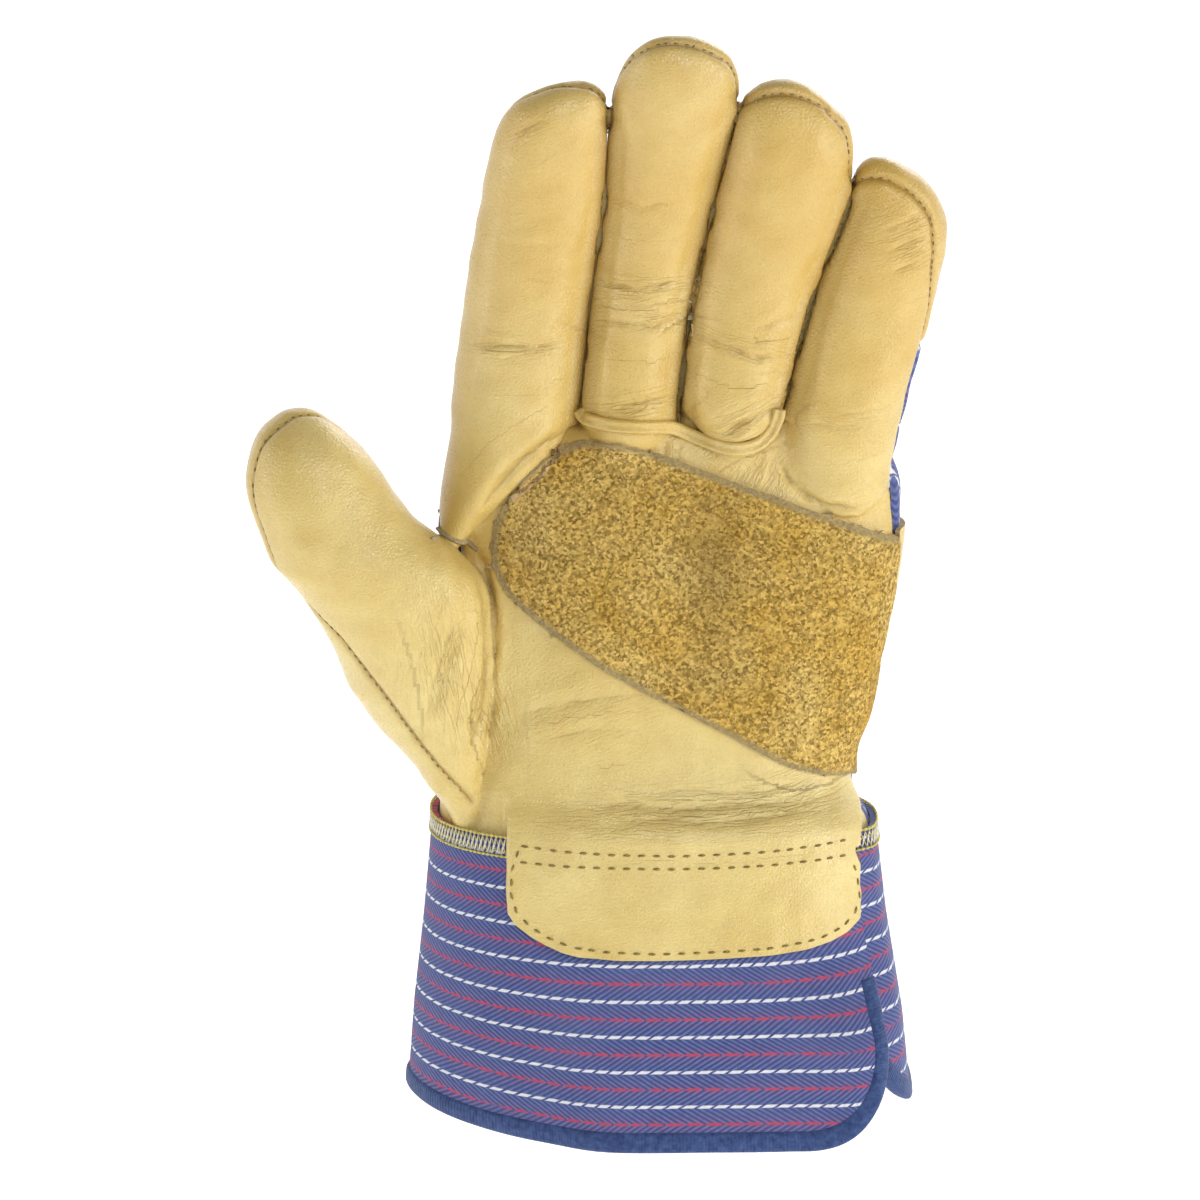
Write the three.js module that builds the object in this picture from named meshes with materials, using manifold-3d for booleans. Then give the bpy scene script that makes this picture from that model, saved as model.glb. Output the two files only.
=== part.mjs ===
// A left-hand pigskin work glove with a striped canvas safety cuff, filled out as it is when worn.
// Millimetres, +Z towards the fingertips, palm facing -Y, thumb towards -X.
// The origin is the middle of the wrist opening, where the cuff is sewn to the hand.
import * as THREE from "three";
import { mergeVertices } from "three/addons/utils/BufferGeometryUtils.js";
import Module from "manifold-3d";

const wasm = await Module();
wasm.setup();

// Driving sizes
const leatherThickness = 1.6;
const overlayThickness = 1.4;
const canvasThickness = 1.6;
const seamGap = 0.3;
const cuffHeight = 72;
const cuffFrontDip = 0.025;
const cuffSlitTop = 33;
const cuffCornerRadius = 22;
const cuffOverlap = 4;
const bindingWidth = 5;
const bindingThickness = 2.8;
const wristSquareness = 2.45;
const beyond = 160;

// Each digit and the palm is a skin over level sections: height z, middle x and y, width and depth.
// y is measured from the curl line, which bends the fingers forward.
const curlLine = [
  { z: 0, y: 0 },
  { z: 90, y: -1 },
  { z: 130, y: -5 },
  { z: 155, y: -10 },
  { z: 175, y: -16 },
  { z: 200, y: -26 },
];

const palmRows = [
  { z: 0, x: 0, y: 0, width: 109, depth: 59 },
  { z: 5, x: -1.4, y: 0, width: 105.6, depth: 55 },
  { z: 11, x: -2.1, y: 0, width: 102.6, depth: 51 },
  { z: 19, x: -1.5, y: 0, width: 101.2, depth: 48 },
  { z: 29, x: 0.7, y: 0, width: 103.5, depth: 45.5 },
  { z: 46, x: 2.5, y: 0, width: 106, depth: 43 },
  { z: 66, x: 4.7, y: 0, width: 109, depth: 40 },
  { z: 78, x: 4.7, y: 0.4, width: 110, depth: 37 },
  { z: 87, x: 6.2, y: 0.2, width: 105.5, depth: 33 },
  { z: 94, x: 9, y: -0.2, width: 92, depth: 29 },
  { z: 99, x: 11, y: -0.6, width: 72, depth: 25 },
  { z: 103, x: 12, y: -1, width: 50, depth: 17 },
];

const indexRows = [
  { z: 70, x: -50, y: -8, width: 5, depth: 10 },
  { z: 74, x: -47, y: -5, width: 11, depth: 17 },
  { z: 84, x: -40, y: -2, width: 23, depth: 26 },
  { z: 89, x: -36.8, y: -2, width: 27.4, depth: 27.5 },
  { z: 95, x: -34.6, y: -2, width: 29.8, depth: 28 },
  { z: 105, x: -33.7, y: -1.5, width: 30.2, depth: 27.5 },
  { z: 130, x: -31.1, y: -0.5, width: 29.2, depth: 26 },
  { z: 155, x: -27.2, y: 0, width: 28.5, depth: 25 },
  { z: 166, x: -25.6, y: 0, width: 27.2, depth: 24 },
  { z: 175, x: -24.2, y: 0, width: 25.6, depth: 22 },
  { z: 179.5, x: -22.6, y: 0, width: 22, depth: 18 },
  { z: 182.6, x: -20.4, y: 0, width: 15, depth: 11 },
  { z: 184, x: -19.6, y: 0, width: 8, depth: 5 },
];

const middleRows = [
  { z: 88, x: -6.2, y: -1, width: 19, depth: 18 },
  { z: 105, x: -6.2, y: -1, width: 22.8, depth: 27 },
  { z: 120, x: -4.8, y: 0, width: 22.9, depth: 26.5 },
  { z: 155, x: 0.8, y: 1.2, width: 25.2, depth: 25 },
  { z: 168, x: 2.6, y: 1.2, width: 27.6, depth: 24.5 },
  { z: 179, x: 4.3, y: 1, width: 29.6, depth: 24 },
  { z: 185.5, x: 5.1, y: 0.6, width: 28.4, depth: 21 },
  { z: 190.5, x: 5.1, y: 0.3, width: 23.6, depth: 16 },
  { z: 194.4, x: 5, y: 0, width: 15.4, depth: 9.5 },
  { z: 195.8, x: 5, y: 0, width: 8, depth: 4.5 },
];

const ringRows = [
  { z: 92, x: 19.2, y: -7, width: 7, depth: 11 },
  { z: 94.5, x: 19, y: -4, width: 14, depth: 18 },
  { z: 98, x: 18.6, y: -2.5, width: 20, depth: 24 },
  { z: 102, x: 18.4, y: -2, width: 23.6, depth: 26.5 },
  { z: 107, x: 18.6, y: -1.8, width: 24.8, depth: 27 },
  { z: 130, x: 22.7, y: -0.5, width: 27.7, depth: 26 },
  { z: 142, x: 25.9, y: -0.5, width: 29.2, depth: 25.5 },
  { z: 155, x: 29.6, y: -0.8, width: 30.9, depth: 25 },
  { z: 167, x: 31.3, y: -0.8, width: 29.7, depth: 24 },
  { z: 174.5, x: 31.4, y: -0.5, width: 26.2, depth: 21 },
  { z: 180, x: 29.9, y: -0.2, width: 20.6, depth: 15 },
  { z: 183.2, x: 29.2, y: 0, width: 13, depth: 9 },
  { z: 184.5, x: 29.1, y: 0, width: 7, depth: 4.5 },
];

const littleRows = [
  { z: 80.5, x: 46.5, y: -8, width: 8, depth: 10 },
  { z: 88, x: 44.2, y: -3, width: 25, depth: 22.5 },
  { z: 94, x: 43.8, y: -2, width: 27.6, depth: 25 },
  { z: 105, x: 45.8, y: -1.5, width: 28.8, depth: 25.5 },
  { z: 125, x: 50.7, y: -0.5, width: 29.5, depth: 24.5 },
  { z: 137, x: 53.9, y: 0, width: 28.2, depth: 24 },
  { z: 148, x: 56.4, y: 0, width: 25.4, depth: 22.5 },
  { z: 156, x: 56.4, y: 0, width: 21, depth: 19 },
  { z: 161, x: 54.4, y: 0, width: 15.6, depth: 14 },
  { z: 164.2, x: 52.9, y: 0, width: 9.6, depth: 8.5 },
  { z: 165.3, x: 52.4, y: 0, width: 5, depth: 4.5 },
];

const thumbRows = [
  { z: 8, x: -47.5, y: -14, width: 9, depth: 14 },
  { z: 18, x: -49, y: -11.5, width: 17.6, depth: 21 },
  { z: 38, x: -55.8, y: -13, width: 34, depth: 29.5 },
  { z: 48, x: -58, y: -14, width: 38.4, depth: 32 },
  { z: 64, x: -64.3, y: -15.5, width: 46.4, depth: 34 },
  { z: 70, x: -69, y: -16, width: 45.4, depth: 33.5 },
  { z: 77.6, x: -75.3, y: -16, width: 39.2, depth: 32.5 },
  { z: 90, x: -81, y: -16, width: 31.8, depth: 28.5 },
  { z: 96, x: -82.5, y: -15.5, width: 26.4, depth: 24.5 },
  { z: 100.8, x: -83.8, y: -15, width: 18.8, depth: 18.5 },
  { z: 103.8, x: -85, y: -14.5, width: 11, depth: 11 },
  { z: 105, x: -85.6, y: -14.5, width: 5.4, depth: 6 },
];

// The cuff's level sections carry on from the palm's lowest one.
const cuffRows = [
  { z: 0, x: 0, y: 0, width: 109, depth: 59 },
  { z: -24, x: 0.4, y: 0.5, width: 114, depth: 66 },
  { z: -48, x: 1.2, y: 1.2, width: 120.5, depth: 74 },
  { z: -76, x: 1.7, y: 2, width: 125.5, depth: 80 },
];

// Lines seen from the front, as x and z
const indexMiddleGap = [[-17.9, 102.2], [-17.6, 107], [-15.6, 130], [-12.2, 155], [-11.2, 179], [-11, 210]];
const middleRingGap = [[5.4, 100.4], [5.8, 107], [8.6, 130], [13.7, 155], [19.3, 179], [21.5, 210]];
const ringLittleGap = [[29.8, 103.5], [31.4, 108], [36.7, 130], [45.4, 155], [47.5, 168], [47.5, 210]];
const ringBaseline = [
  [5.4, 100.4], [9.5, 98.6], [14, 97.4], [19.5, 97], [24.5, 98], [27.8, 100.4], [29.8, 103.5],
];
const patchOutline = [
  [65, 70.5], [55, 73.6], [42, 79], [29, 84], [18, 87.8], [7, 92], [-3.7, 96], [-13, 97.4], [-21, 96],
  [-27, 93], [-32, 88.6], [-36, 82.6], [-38.8, 76], [-39.2, 70.6], [-38.6, 66], [-35.6, 60.6], [-29.6, 55.2],
  [-22.8, 50.2], [-13.2, 43.6], [-2.4, 37.6], [8.4, 32], [19.3, 26.2], [27, 21.4], [35, 17.2], [41, 15],
  [48.5, 12.6], [65, 11],
];
const thumbSeamLine = [
  [-84, 60], [-80, 56.4], [-75.2, 52.2], [-65.8, 39.4], [-56.5, 25.2], [-48.2, 14.6], [-43, 7.2],
  [-41, 2], [-40.5, -8],
];
const thumbPanelEdge = [[-37, -8], [-37, 20], [-44, 55], [-52, 73], [-58, 82], [-58, 120]];
const tabOutline = [
  [-33.8, 6], [-34.4, 1.6], [-36.6, -4.5], [-36.9, -10.5], [-35.8, -15.4], [-32.4, -19.4], [-26.5, -22.6],
  [-18.4, -25.2], [-7, -26], [11, -25.8], [27, -25.3], [38, -24.6], [45.6, -22.8], [50, -19.4], [51.4, -14.6],
  [50.6, -8.6], [48.6, -1.6], [47.6, 6],
];
const weltPath = [
  [-16.6, 104.4], [-15.2, 102.8], [-10.8, 102.3], [-3.7, 101.9], [4, 100.6], [8.6, 98.4], [13.5, 96.9],
  [19.4, 96.3], [24.6, 97.2], [27.7, 99.8], [29, 103],
];

const lerp = (from, to, share) => from + (to - from) * share;
const smooth = (value, low, high) => THREE.MathUtils.smoothstep(value, low, high);

// Values of a table at a height, straight between its rows
function atHeight(rows, z, keys) {
  const down = rows[0].z > rows[rows.length - 1].z;
  const sorted = down ? [...rows].reverse() : rows;
  let k = 1;
  while (k < sorted.length - 1 && sorted[k].z < z) k++;
  const [low, high] = [sorted[k - 1], sorted[k]];
  const share = THREE.MathUtils.clamp((z - low.z) / (high.z - low.z), 0, 1);
  return Object.fromEntries(keys.map((key) => [key, lerp(low[key], high[key], share)]));
}

const curl = (z) => atHeight(curlLine, z, ["y"]).y;

// A closed solid from rings of points, all with the same count, joined in order and capped
function skin(rings) {
  const outline = (ring) => ring.map((p) => new THREE.Vector2(p.u ?? p.x, p.v ?? p.y));
  if (THREE.ShapeUtils.area(outline(rings[0])) < 0) return skin(rings.map((ring) => [...ring].reverse()));
  const count = rings[0].length;
  const points = rings.flat();
  const faces = [];
  for (let r = 0; r + 1 < rings.length; r++)
    for (let k = 0; k < count; k++) {
      const [a, b] = [r * count + k, r * count + ((k + 1) % count)];
      faces.push(a, b, b + count, a, b + count, a + count);
    }
  const cap = (ring, start, up) => {
    for (const [a, b, c] of THREE.ShapeUtils.triangulateShape(outline(ring), []))
      faces.push(...(up ? [start + a, start + b, start + c] : [start + c, start + b, start + a]));
  };
  cap(rings[0], 0, false);
  cap(rings[rings.length - 1], (rings.length - 1) * count, true);
  return solid(points, faces);
}

function solid(points, faces) {
  const made = new wasm.Manifold(
    new wasm.Mesh({
      numProp: 3,
      vertProperties: new Float32Array(points.flatMap((p) => [p.x, p.y, p.z])),
      triVerts: new Uint32Array(faces),
    }),
  );
  if (made.volume() > 0) return made;
  const turned = [];
  for (let k = 0; k < faces.length; k += 3) turned.push(faces[k], faces[k + 2], faces[k + 1]);
  return solid(points, turned);
}

// A round-cornered section: squareness 2 is an ellipse, and more is boxier
function sectionPoint(row, angle, squareness, grow = 0) {
  const [c, s] = [Math.cos(angle), Math.sin(angle)];
  const power = 2 / squareness;
  return new THREE.Vector3(
    row.x + (row.width / 2 + grow) * Math.sign(c) * Math.abs(c) ** power,
    row.y + (row.depth / 2 + grow) * Math.sign(s) * Math.abs(s) ** power,
    row.z,
  );
}

// A digit or the palm, with its skin moved outwards by grow
function digit(rows, sides, squareness, grow, openBelow = false) {
  const last = rows.length - 1;
  const rings = rows.map((row, k) => {
    const [below, above] = [rows[Math.max(k - 1, 0)], rows[Math.min(k + 1, last)]];
    const slope = (above.width - below.width) / 2 / (above.z - below.z);
    const steep = Math.hypot(1, slope);
    const rise = openBelow && k === 0 ? 0 : grow * (-slope / steep);
    const spread = grow / steep;
    const placed = { ...row, y: row.y + curl(row.z), z: row.z + rise };
    if (openBelow && k === 0 && grow < 0) placed.z -= 6;
    return Array.from({ length: sides }, (_, n) =>
      sectionPoint(placed, (2 * Math.PI * n) / sides, squareness, spread),
    );
  });
  return skin(rings);
}

function hand(grow) {
  const digits = [indexRows, middleRows, ringRows, littleRows].map((rows) => digit(rows, 14, 2.3, grow));
  const palm = digit(palmRows, 26, wristSquareness, grow, true);
  const parts = [palm, ...digits, digit(thumbRows, 16, 2.2, grow)];
  return parts.reduce((all, next) => all.add(next));
}

// A straight-sided block with the given outline seen from the front, x and z
function frontBlock(outline, front = -beyond, back = beyond) {
  const ring = (y) => outline.map(([x, z]) => Object.assign(new THREE.Vector3(x, y, z), { u: x, v: z }));
  return skin([ring(front), ring(back)]);
}

// Everything in front of the side seams: the seam runs near the middle of each digit's depth
function frontOfSeam(shift) {
  const thumbSeam = (z) => lerp(0, -16, smooth(z, 12, 34));
  const leftEnd = (z) => lerp(0, -7, smooth(z, 45, 75));
  const heights = [-20, 0, 12, 20, 34, 50, 65, 80, 90, 104, 112, 130, 155, 175, 200, 220];
  const rings = heights.map((z) => {
    const seam = (x) => curl(z) - 0.07 * x + shift;
    const aside = z < 108 ? thumbSeam(z) + shift : seam(-100);
    const ring = [
      [-120, z < 108 ? aside + leftEnd(z) - 0.4 : seam(-120) - 1],
      [-58, z < 108 ? aside : seam(-58) - 0.1],
      [-47, seam(-47)],
      [beyond, seam(beyond)],
      [beyond, -beyond],
      [-120, -beyond],
    ];
    return ring.map(([x, y]) => new THREE.Vector3(x, y, z));
  });
  return skin(rings);
}

// The largest body of a cut solid; the crumbs of the cut are dropped
function largest(cut) {
  const bodies = cut.decompose();
  return bodies.reduce((best, next) => (next.volume() > best.volume() ? next : best));
}

function inset(line, by) {
  return line.map(([x, z]) => [x + by, z]);
}

const halfGap = seamGap / 2;
const shell = hand(0).subtract(hand(-leatherThickness));
const front = frontOfSeam(-halfGap);
const back = frontOfSeam(halfGap);

const raiseFirst = (line, by) => line.map(([x, z], k) => [x, k === 0 ? z + by : z]);
const middleBlock = (by) =>
  frontBlock([
    ...raiseFirst(inset(indexMiddleGap, by), by), ...raiseFirst(inset(middleRingGap, -by), by).reverse(),
  ]);
const ringBlock = (by) =>
  frontBlock([
    ...inset(middleRingGap, by).slice(1), ...inset(ringLittleGap, -by).slice(1).reverse(),
    ...ringBaseline.slice().reverse().map(([x, z]) => [x, z + by]),
  ]);
const thumbBlock = (by) => frontBlock([[-beyond, -8], ...inset(thumbPanelEdge, -by), [-beyond, 120]]);
const leftOfThumbSeam = (by) =>
  frontBlock([[-beyond, 60], ...inset(thumbSeamLine, by), [-beyond, -8]].reverse());
const indexBackBlock = (by) =>
  frontBlock([[-56, 76 + by], ...inset(indexMiddleGap, -by).map(([x, z]) => [x, z + by]), [-56, 210]]);
const above = (z) => frontBlock([[-beyond, z], [beyond, z], [beyond, 260], [-beyond, 260]]);
const rightOf = (line, by) => frontBlock([...inset(line, by), [beyond, 210], [beyond, line[0][1]]]);

const frontShell = shell.intersect(front);
const backShell = shell.subtract(back);

const middleFront = largest(frontShell.intersect(middleBlock(halfGap)));
const ringFront = largest(frontShell.intersect(ringBlock(halfGap)));
const palmFront = frontShell
  .subtract(middleBlock(-halfGap))
  .subtract(ringBlock(-halfGap))
  .subtract(leftOfThumbSeam(halfGap));

const thumbBack = largest(
  backShell.add(shell.intersect(leftOfThumbSeam(-halfGap))).intersect(thumbBlock(halfGap)),
);
const indexBack = largest(backShell.subtract(thumbBlock(-halfGap)).intersect(indexBackBlock(halfGap)));
const backRest = backShell.subtract(thumbBlock(-halfGap)).subtract(indexBackBlock(-halfGap));
const capStart = { middle: 150, ring: 142, little: 120 };
const middleTip = largest(
  backRest.intersect(middleBlock(halfGap)).intersect(above(capStart.middle + halfGap)),
);
const ringTip = largest(backRest.intersect(ringBlock(halfGap)).intersect(above(capStart.ring + halfGap)));
const littleTip = largest(
  backRest.intersect(rightOf(ringLittleGap, halfGap)).intersect(above(capStart.little + halfGap)),
);
const backCanvas = largest(
  backRest
    .subtract(middleBlock(0).intersect(above(capStart.middle - halfGap)))
    .subtract(ringBlock(0).intersect(above(capStart.ring - halfGap)))
    .subtract(rightOf(ringLittleGap, 0).intersect(above(capStart.little - halfGap))),
);

// Leather laid over the hand: the suede palm patch in front and the knuckle strap behind
const overlay = hand(seamGap + overlayThickness).subtract(hand(seamGap));
const patch = largest(overlay.intersect(frontBlock(patchOutline)).intersect(front));
const strapOutline = [[-beyond, 35], [beyond, 34], [beyond, 74], [-beyond, 69]];
const strapSide = frontBlock([[-40, -8], [beyond, -8], [beyond, 120], [-40, 120]]);
const strapBlock = frontBlock(strapOutline).intersect(strapSide);
const knuckleStrap = largest(overlay.intersect(strapBlock).subtract(back));

// The cuff is one strip of canvas, bent round from the front flap, past the left side and the back, to the
// back flap.
// along is the distance round from the front flap's edge and drop the distance below the wrist seam.
const slitAngle = THREE.MathUtils.degToRad(-24);
const cuffTurn = (() => {
  const middle = { ...atHeight(cuffRows, -40, ["x", "y", "width", "depth"]), z: 0 };
  const steps = 720;
  const lengths = [0];
  const place = (k) => sectionPoint(middle, slitAngle - (2 * Math.PI * k) / steps, wristSquareness);
  for (let k = 1; k <= steps + 40; k++) lengths.push(lengths[k - 1] + place(k).distanceTo(place(k - 1)));
  return { steps, lengths, round: lengths[steps] };
})();
const cuffLength = cuffTurn.round + cuffOverlap;

function cuffAngle(along) {
  let k = 1;
  while (k < cuffTurn.lengths.length - 1 && cuffTurn.lengths[k] < along) k++;
  const share = (along - cuffTurn.lengths[k - 1]) / (cuffTurn.lengths[k] - cuffTurn.lengths[k - 1]);
  return slitAngle - (2 * Math.PI * (k - 1 + share)) / cuffTurn.steps;
}

// The hem hangs a little lower in front than at the sides and the back
function cuffLevel(angle, drop) {
  const frontness = 2 * smooth(-Math.sin(angle), -0.15, 0.95) - 1;
  return drop < 0 ? -drop : -drop * (1 + cuffFrontDip * frontness);
}

function cuffPoint(along, drop, out) {
  const angle = cuffAngle(along);
  const level = cuffLevel(angle, drop);
  const row = atHeight(drop < 0 ? palmRows : cuffRows, level, ["x", "y", "width", "depth"]);
  row.y += drop < 0 ? curl(level) : 0;
  const nearBackFlap = smooth(along, cuffLength - 14, cuffLength - 5);
  const tuck = (canvasThickness + 2 * seamGap) * nearBackFlap;
  const flare = bindingThickness * 0.5 * nearBackFlap * smooth(drop, 25, 37);
  return sectionPoint({ ...row, z: level }, angle, wristSquareness, out - tuck - flare);
}

function cuffHem(along) {
  const fromEdge = Math.min(along, cuffLength - along, cuffCornerRadius);
  const left = cuffCornerRadius - fromEdge;
  return cuffHeight - cuffCornerRadius + Math.sqrt(cuffCornerRadius ** 2 - left ** 2);
}

// A slab between two offsets of the cuff's surface, over a grid of along and drop
function cuffSlab(columns, rows, place, outer, inner) {
  const points = [];
  for (const out of [outer, inner])
    for (let r = 0; r <= rows; r++)
      for (let c = 0; c <= columns; c++) {
        const [along, drop] = place(c / columns, r / rows);
        points.push(cuffPoint(along, drop, typeof out === "function" ? out(along, drop) : out));
      }
  const layer = (rows + 1) * (columns + 1);
  const faces = [];
  const at = (r, c) => r * (columns + 1) + c;
  for (let r = 0; r < rows; r++)
    for (let c = 0; c < columns; c++) {
      const [a, b, d, e] = [at(r, c), at(r, c + 1), at(r + 1, c), at(r + 1, c + 1)];
      faces.push(a, d, b, b, d, e, layer + a, layer + b, layer + d, layer + b, layer + e, layer + d);
    }
  const rim = [
    ...Array.from({ length: columns }, (_, c) => at(0, c)),
    ...Array.from({ length: rows }, (_, r) => at(r, columns)),
    ...Array.from({ length: columns }, (_, c) => at(rows, columns - c)),
    ...Array.from({ length: rows }, (_, r) => at(rows - r, 0)),
  ];
  rim.forEach((a, k) => {
    const b = rim[(k + 1) % rim.length];
    faces.push(a, b, layer + b, a, layer + b, layer + a);
  });
  return solid(points, faces);
}

// The edge that the binding covers: up the front flap, round its corner, along the hem and up the back flap
function bindingEdge(share) {
  const [side, corner] = [cuffHeight - cuffCornerRadius - cuffSlitTop, (Math.PI / 2) * cuffCornerRadius];
  const hem = cuffLength - 2 * cuffCornerRadius;
  const round = 2 * (side + corner) + hem;
  const run = share * round;
  const mirrored = run > round / 2;
  const way = mirrored ? round - run : run;
  let [along, drop, across, down] = [0, cuffSlitTop + way, 1, 0];
  if (way > side + corner) {
    [along, drop, across, down] = [cuffCornerRadius + way - side - corner, cuffHeight, 0, -1];
  } else if (way > side) {
    const turn = (way - side) / cuffCornerRadius;
    across = Math.cos(turn);
    down = -Math.sin(turn);
    along = cuffCornerRadius * (1 - across);
    drop = cuffHeight - cuffCornerRadius - cuffCornerRadius * down;
  }
  return mirrored ? [cuffLength - along, drop, -across, down] : [along, drop, across, down];
}

function bindingStrip(width, grow) {
  const outer = (bindingThickness - canvasThickness) / 2 + grow;
  const inner = -(bindingThickness + canvasThickness) / 2 - grow;
  const overhang = 0.6 + grow;
  return cuffSlab(54, 1, (share, side) => {
    const [along, drop, across, down] = bindingEdge(share);
    const reach = lerp(-overhang, width, side);
    return [along + across * reach, drop + down * reach];
  }, outer, inner);
}

const canvasStrip = cuffSlab(52, 3, (share, side) => {
  const along = share * cuffLength;
  return [along, lerp(seamGap, cuffHem(along), side)];
}, 0, -canvasThickness);
const binding = bindingStrip(bindingWidth, 0);
const cuff = largest(canvasStrip.subtract(bindingStrip(bindingWidth + seamGap, seamGap)));

// The palm leather runs down over the cuff as a tab, joined to it just above the wrist seam
function cuffAlongAt(x) {
  let along = 0;
  while (along < cuffLength / 2 && cuffPoint(along, 0, 0).x > x) along += 0.25;
  return along;
}

const tab = (() => {
  const drops = [-5, 0, 13, 27];
  const [from, to] = [cuffAlongAt(54), cuffAlongAt(-40)];
  const place = (share, side) => [lerp(from, to, share), drops[Math.round(side * 3)]];
  const under = (along, drop) => (drop < 0 ? -0.8 : seamGap + 0.15);
  const over = (along, drop) => (drop < 0 ? 0.3 : seamGap + 0.15 + overlayThickness);
  return cuffSlab(22, 3, place, over, under).intersect(frontBlock(tabOutline, -beyond, -5));
})();
const palmLeather = largest(palmFront.add(tab));

// The folded welt that closes the seam under the middle and ring fingers
const probe = new THREE.Mesh(geometryOf(hand(0)), new THREE.MeshBasicMaterial({ side: THREE.DoubleSide }));
const ray = new THREE.Raycaster();

function frontSurface(x, z) {
  ray.set(new THREE.Vector3(x, -beyond, z), new THREE.Vector3(0, 1, 0));
  return ray.intersectObject(probe)[0].point.y;
}

const weltRadius = 1.9;
const welt = (() => {
  const curve = new THREE.CatmullRomCurve3(
    weltPath.map(([x, z]) => new THREE.Vector3(x, frontSurface(x, z) - weltRadius * 0.6, z)),
  );
  const section = new THREE.Shape();
  section.absellipse(0, 0, weltRadius, weltRadius, 0, 2 * Math.PI);
  const roll = new THREE.ExtrudeGeometry(section, { steps: 20, curveSegments: 3, extrudePath: curve });
  return largest(solidOf(roll).subtract(hand(seamGap)));
})();

function solidOf(geometry) {
  geometry.deleteAttribute("normal");
  geometry.deleteAttribute("uv");
  const merged = mergeVertices(geometry, 1e-4);
  const place = merged.getAttribute("position");
  const pointAt = (_, k) => new THREE.Vector3().fromBufferAttribute(place, k);
  const points = Array.from({ length: place.count }, pointAt);
  return solid(points, Array.from(merged.index.array));
}

function geometryOf(made) {
  const { numProp, vertProperties, triVerts } = made.getMesh();
  const place = [];
  for (let k = 0; k < vertProperties.length; k += numProp) place.push(...vertProperties.subarray(k, k + 3));
  const geometry = new THREE.BufferGeometry();
  geometry.setAttribute("position", new THREE.Float32BufferAttribute(place, 3));
  geometry.setIndex(Array.from(triVerts));
  return geometry;
}

const grainLeather = new THREE.MeshStandardMaterial({ color: 0xdcc27c, roughness: 0.42, metalness: 0 });
const suedeLeather = new THREE.MeshStandardMaterial({ color: 0xc09a52, roughness: 0.95, metalness: 0 });
const stripedCanvas = new THREE.MeshStandardMaterial({ color: 0x56609a, roughness: 0.85, metalness: 0 });
const navyTape = new THREE.MeshStandardMaterial({ color: 0x34477a, roughness: 0.8, metalness: 0 });

const glove = new THREE.Group();
const pieces = [
  ["palm_leather", palmLeather, grainLeather],
  ["middle_finger_front", middleFront, grainLeather],
  ["ring_finger_front", ringFront, grainLeather],
  ["finger_base_welt", welt, grainLeather],
  ["palm_patch", patch, suedeLeather],
  ["thumb_back", thumbBack, grainLeather],
  ["index_finger_back", indexBack, grainLeather],
  ["middle_fingertip_back", middleTip, grainLeather],
  ["ring_fingertip_back", ringTip, grainLeather],
  ["little_fingertip_back", littleTip, grainLeather],
  ["back_canvas", backCanvas, stripedCanvas],
  ["knuckle_strap", knuckleStrap, grainLeather],
  ["cuff_canvas", cuff, stripedCanvas],
  ["cuff_binding", binding, navyTape],
];
for (const [name, made, material] of pieces) {
  const mesh = new THREE.Mesh(geometryOf(made.simplify(0.12)), material);
  mesh.name = name;
  glove.add(mesh);
}

export default glove;
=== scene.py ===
# Pigskin work glove for the left hand, filled out as it is when worn.
# Tables are in millimetres: x across, y front to back, z from the wrist seam up. The scene is in metres.
import math

import bmesh
import bpy
import numpy as np
from mathutils import Matrix, Vector
from mathutils.bvhtree import BVHTree
from mathutils.kdtree import KDTree


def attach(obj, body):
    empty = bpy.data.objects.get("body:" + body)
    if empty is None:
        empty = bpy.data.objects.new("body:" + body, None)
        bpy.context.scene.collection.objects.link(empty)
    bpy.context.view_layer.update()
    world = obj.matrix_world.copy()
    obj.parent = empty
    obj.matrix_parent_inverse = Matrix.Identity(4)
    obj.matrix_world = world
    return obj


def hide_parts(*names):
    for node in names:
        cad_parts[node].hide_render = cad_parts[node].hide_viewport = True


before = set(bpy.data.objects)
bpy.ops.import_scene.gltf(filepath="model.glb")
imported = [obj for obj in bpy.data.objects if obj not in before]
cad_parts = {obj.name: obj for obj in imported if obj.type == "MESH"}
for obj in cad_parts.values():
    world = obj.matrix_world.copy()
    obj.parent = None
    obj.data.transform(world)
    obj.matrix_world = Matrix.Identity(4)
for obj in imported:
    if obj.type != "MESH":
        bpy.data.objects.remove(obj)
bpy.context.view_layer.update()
mm = 0.001
scene = bpy.context.scene


# camera and light

cameraPlace = {"target": (-13.2, 0, 54.8), "distance": 1300, "elevation": 15, "frameWidth": 292}

lamps = {
    "stripLeft": {"at": (-960, -230, 170), "size": (100, 900), "power": 2.8, "colour": "#FFFFFF"},
    "softRight": {"at": (880, -500, 190), "size": (340, 800), "power": 5.2, "colour": "#FFFDF8"},
    "frontTop": {"at": (120, -960, 560), "size": (420, 360), "power": 3.5, "colour": "#FFFFFF"},
    "rimBack": {"at": (380, 760, 560), "size": (600, 500), "power": 2.5, "colour": "#FFFFFF"},
}


def linearColour(hexColour):
    parts = [int(hexColour[k:k + 2], 16) / 255 for k in (1, 3, 5)]
    return tuple(c / 12.92 if c <= 0.04045 else ((c + 0.055) / 1.055) ** 2.4 for c in parts)


def placeCamera():
    place = cameraPlace
    target = Vector(place["target"]) * mm
    tilt = math.radians(place["elevation"])
    away = Vector((0, -math.cos(tilt), math.sin(tilt))) * place["distance"] * mm
    lens = bpy.data.cameras.new("photoCamera")
    lens.sensor_fit = "HORIZONTAL"
    lens.angle = 2 * math.atan(place["frameWidth"] / 2 / place["distance"])
    lens.clip_start, lens.clip_end = 0.05, 20
    camera = bpy.data.objects.new("photoCamera", lens)
    camera.location = target + away
    camera.rotation_euler = (-away).to_track_quat("-Z", "Y").to_euler()
    scene.collection.objects.link(camera)
    scene.camera = camera


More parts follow.
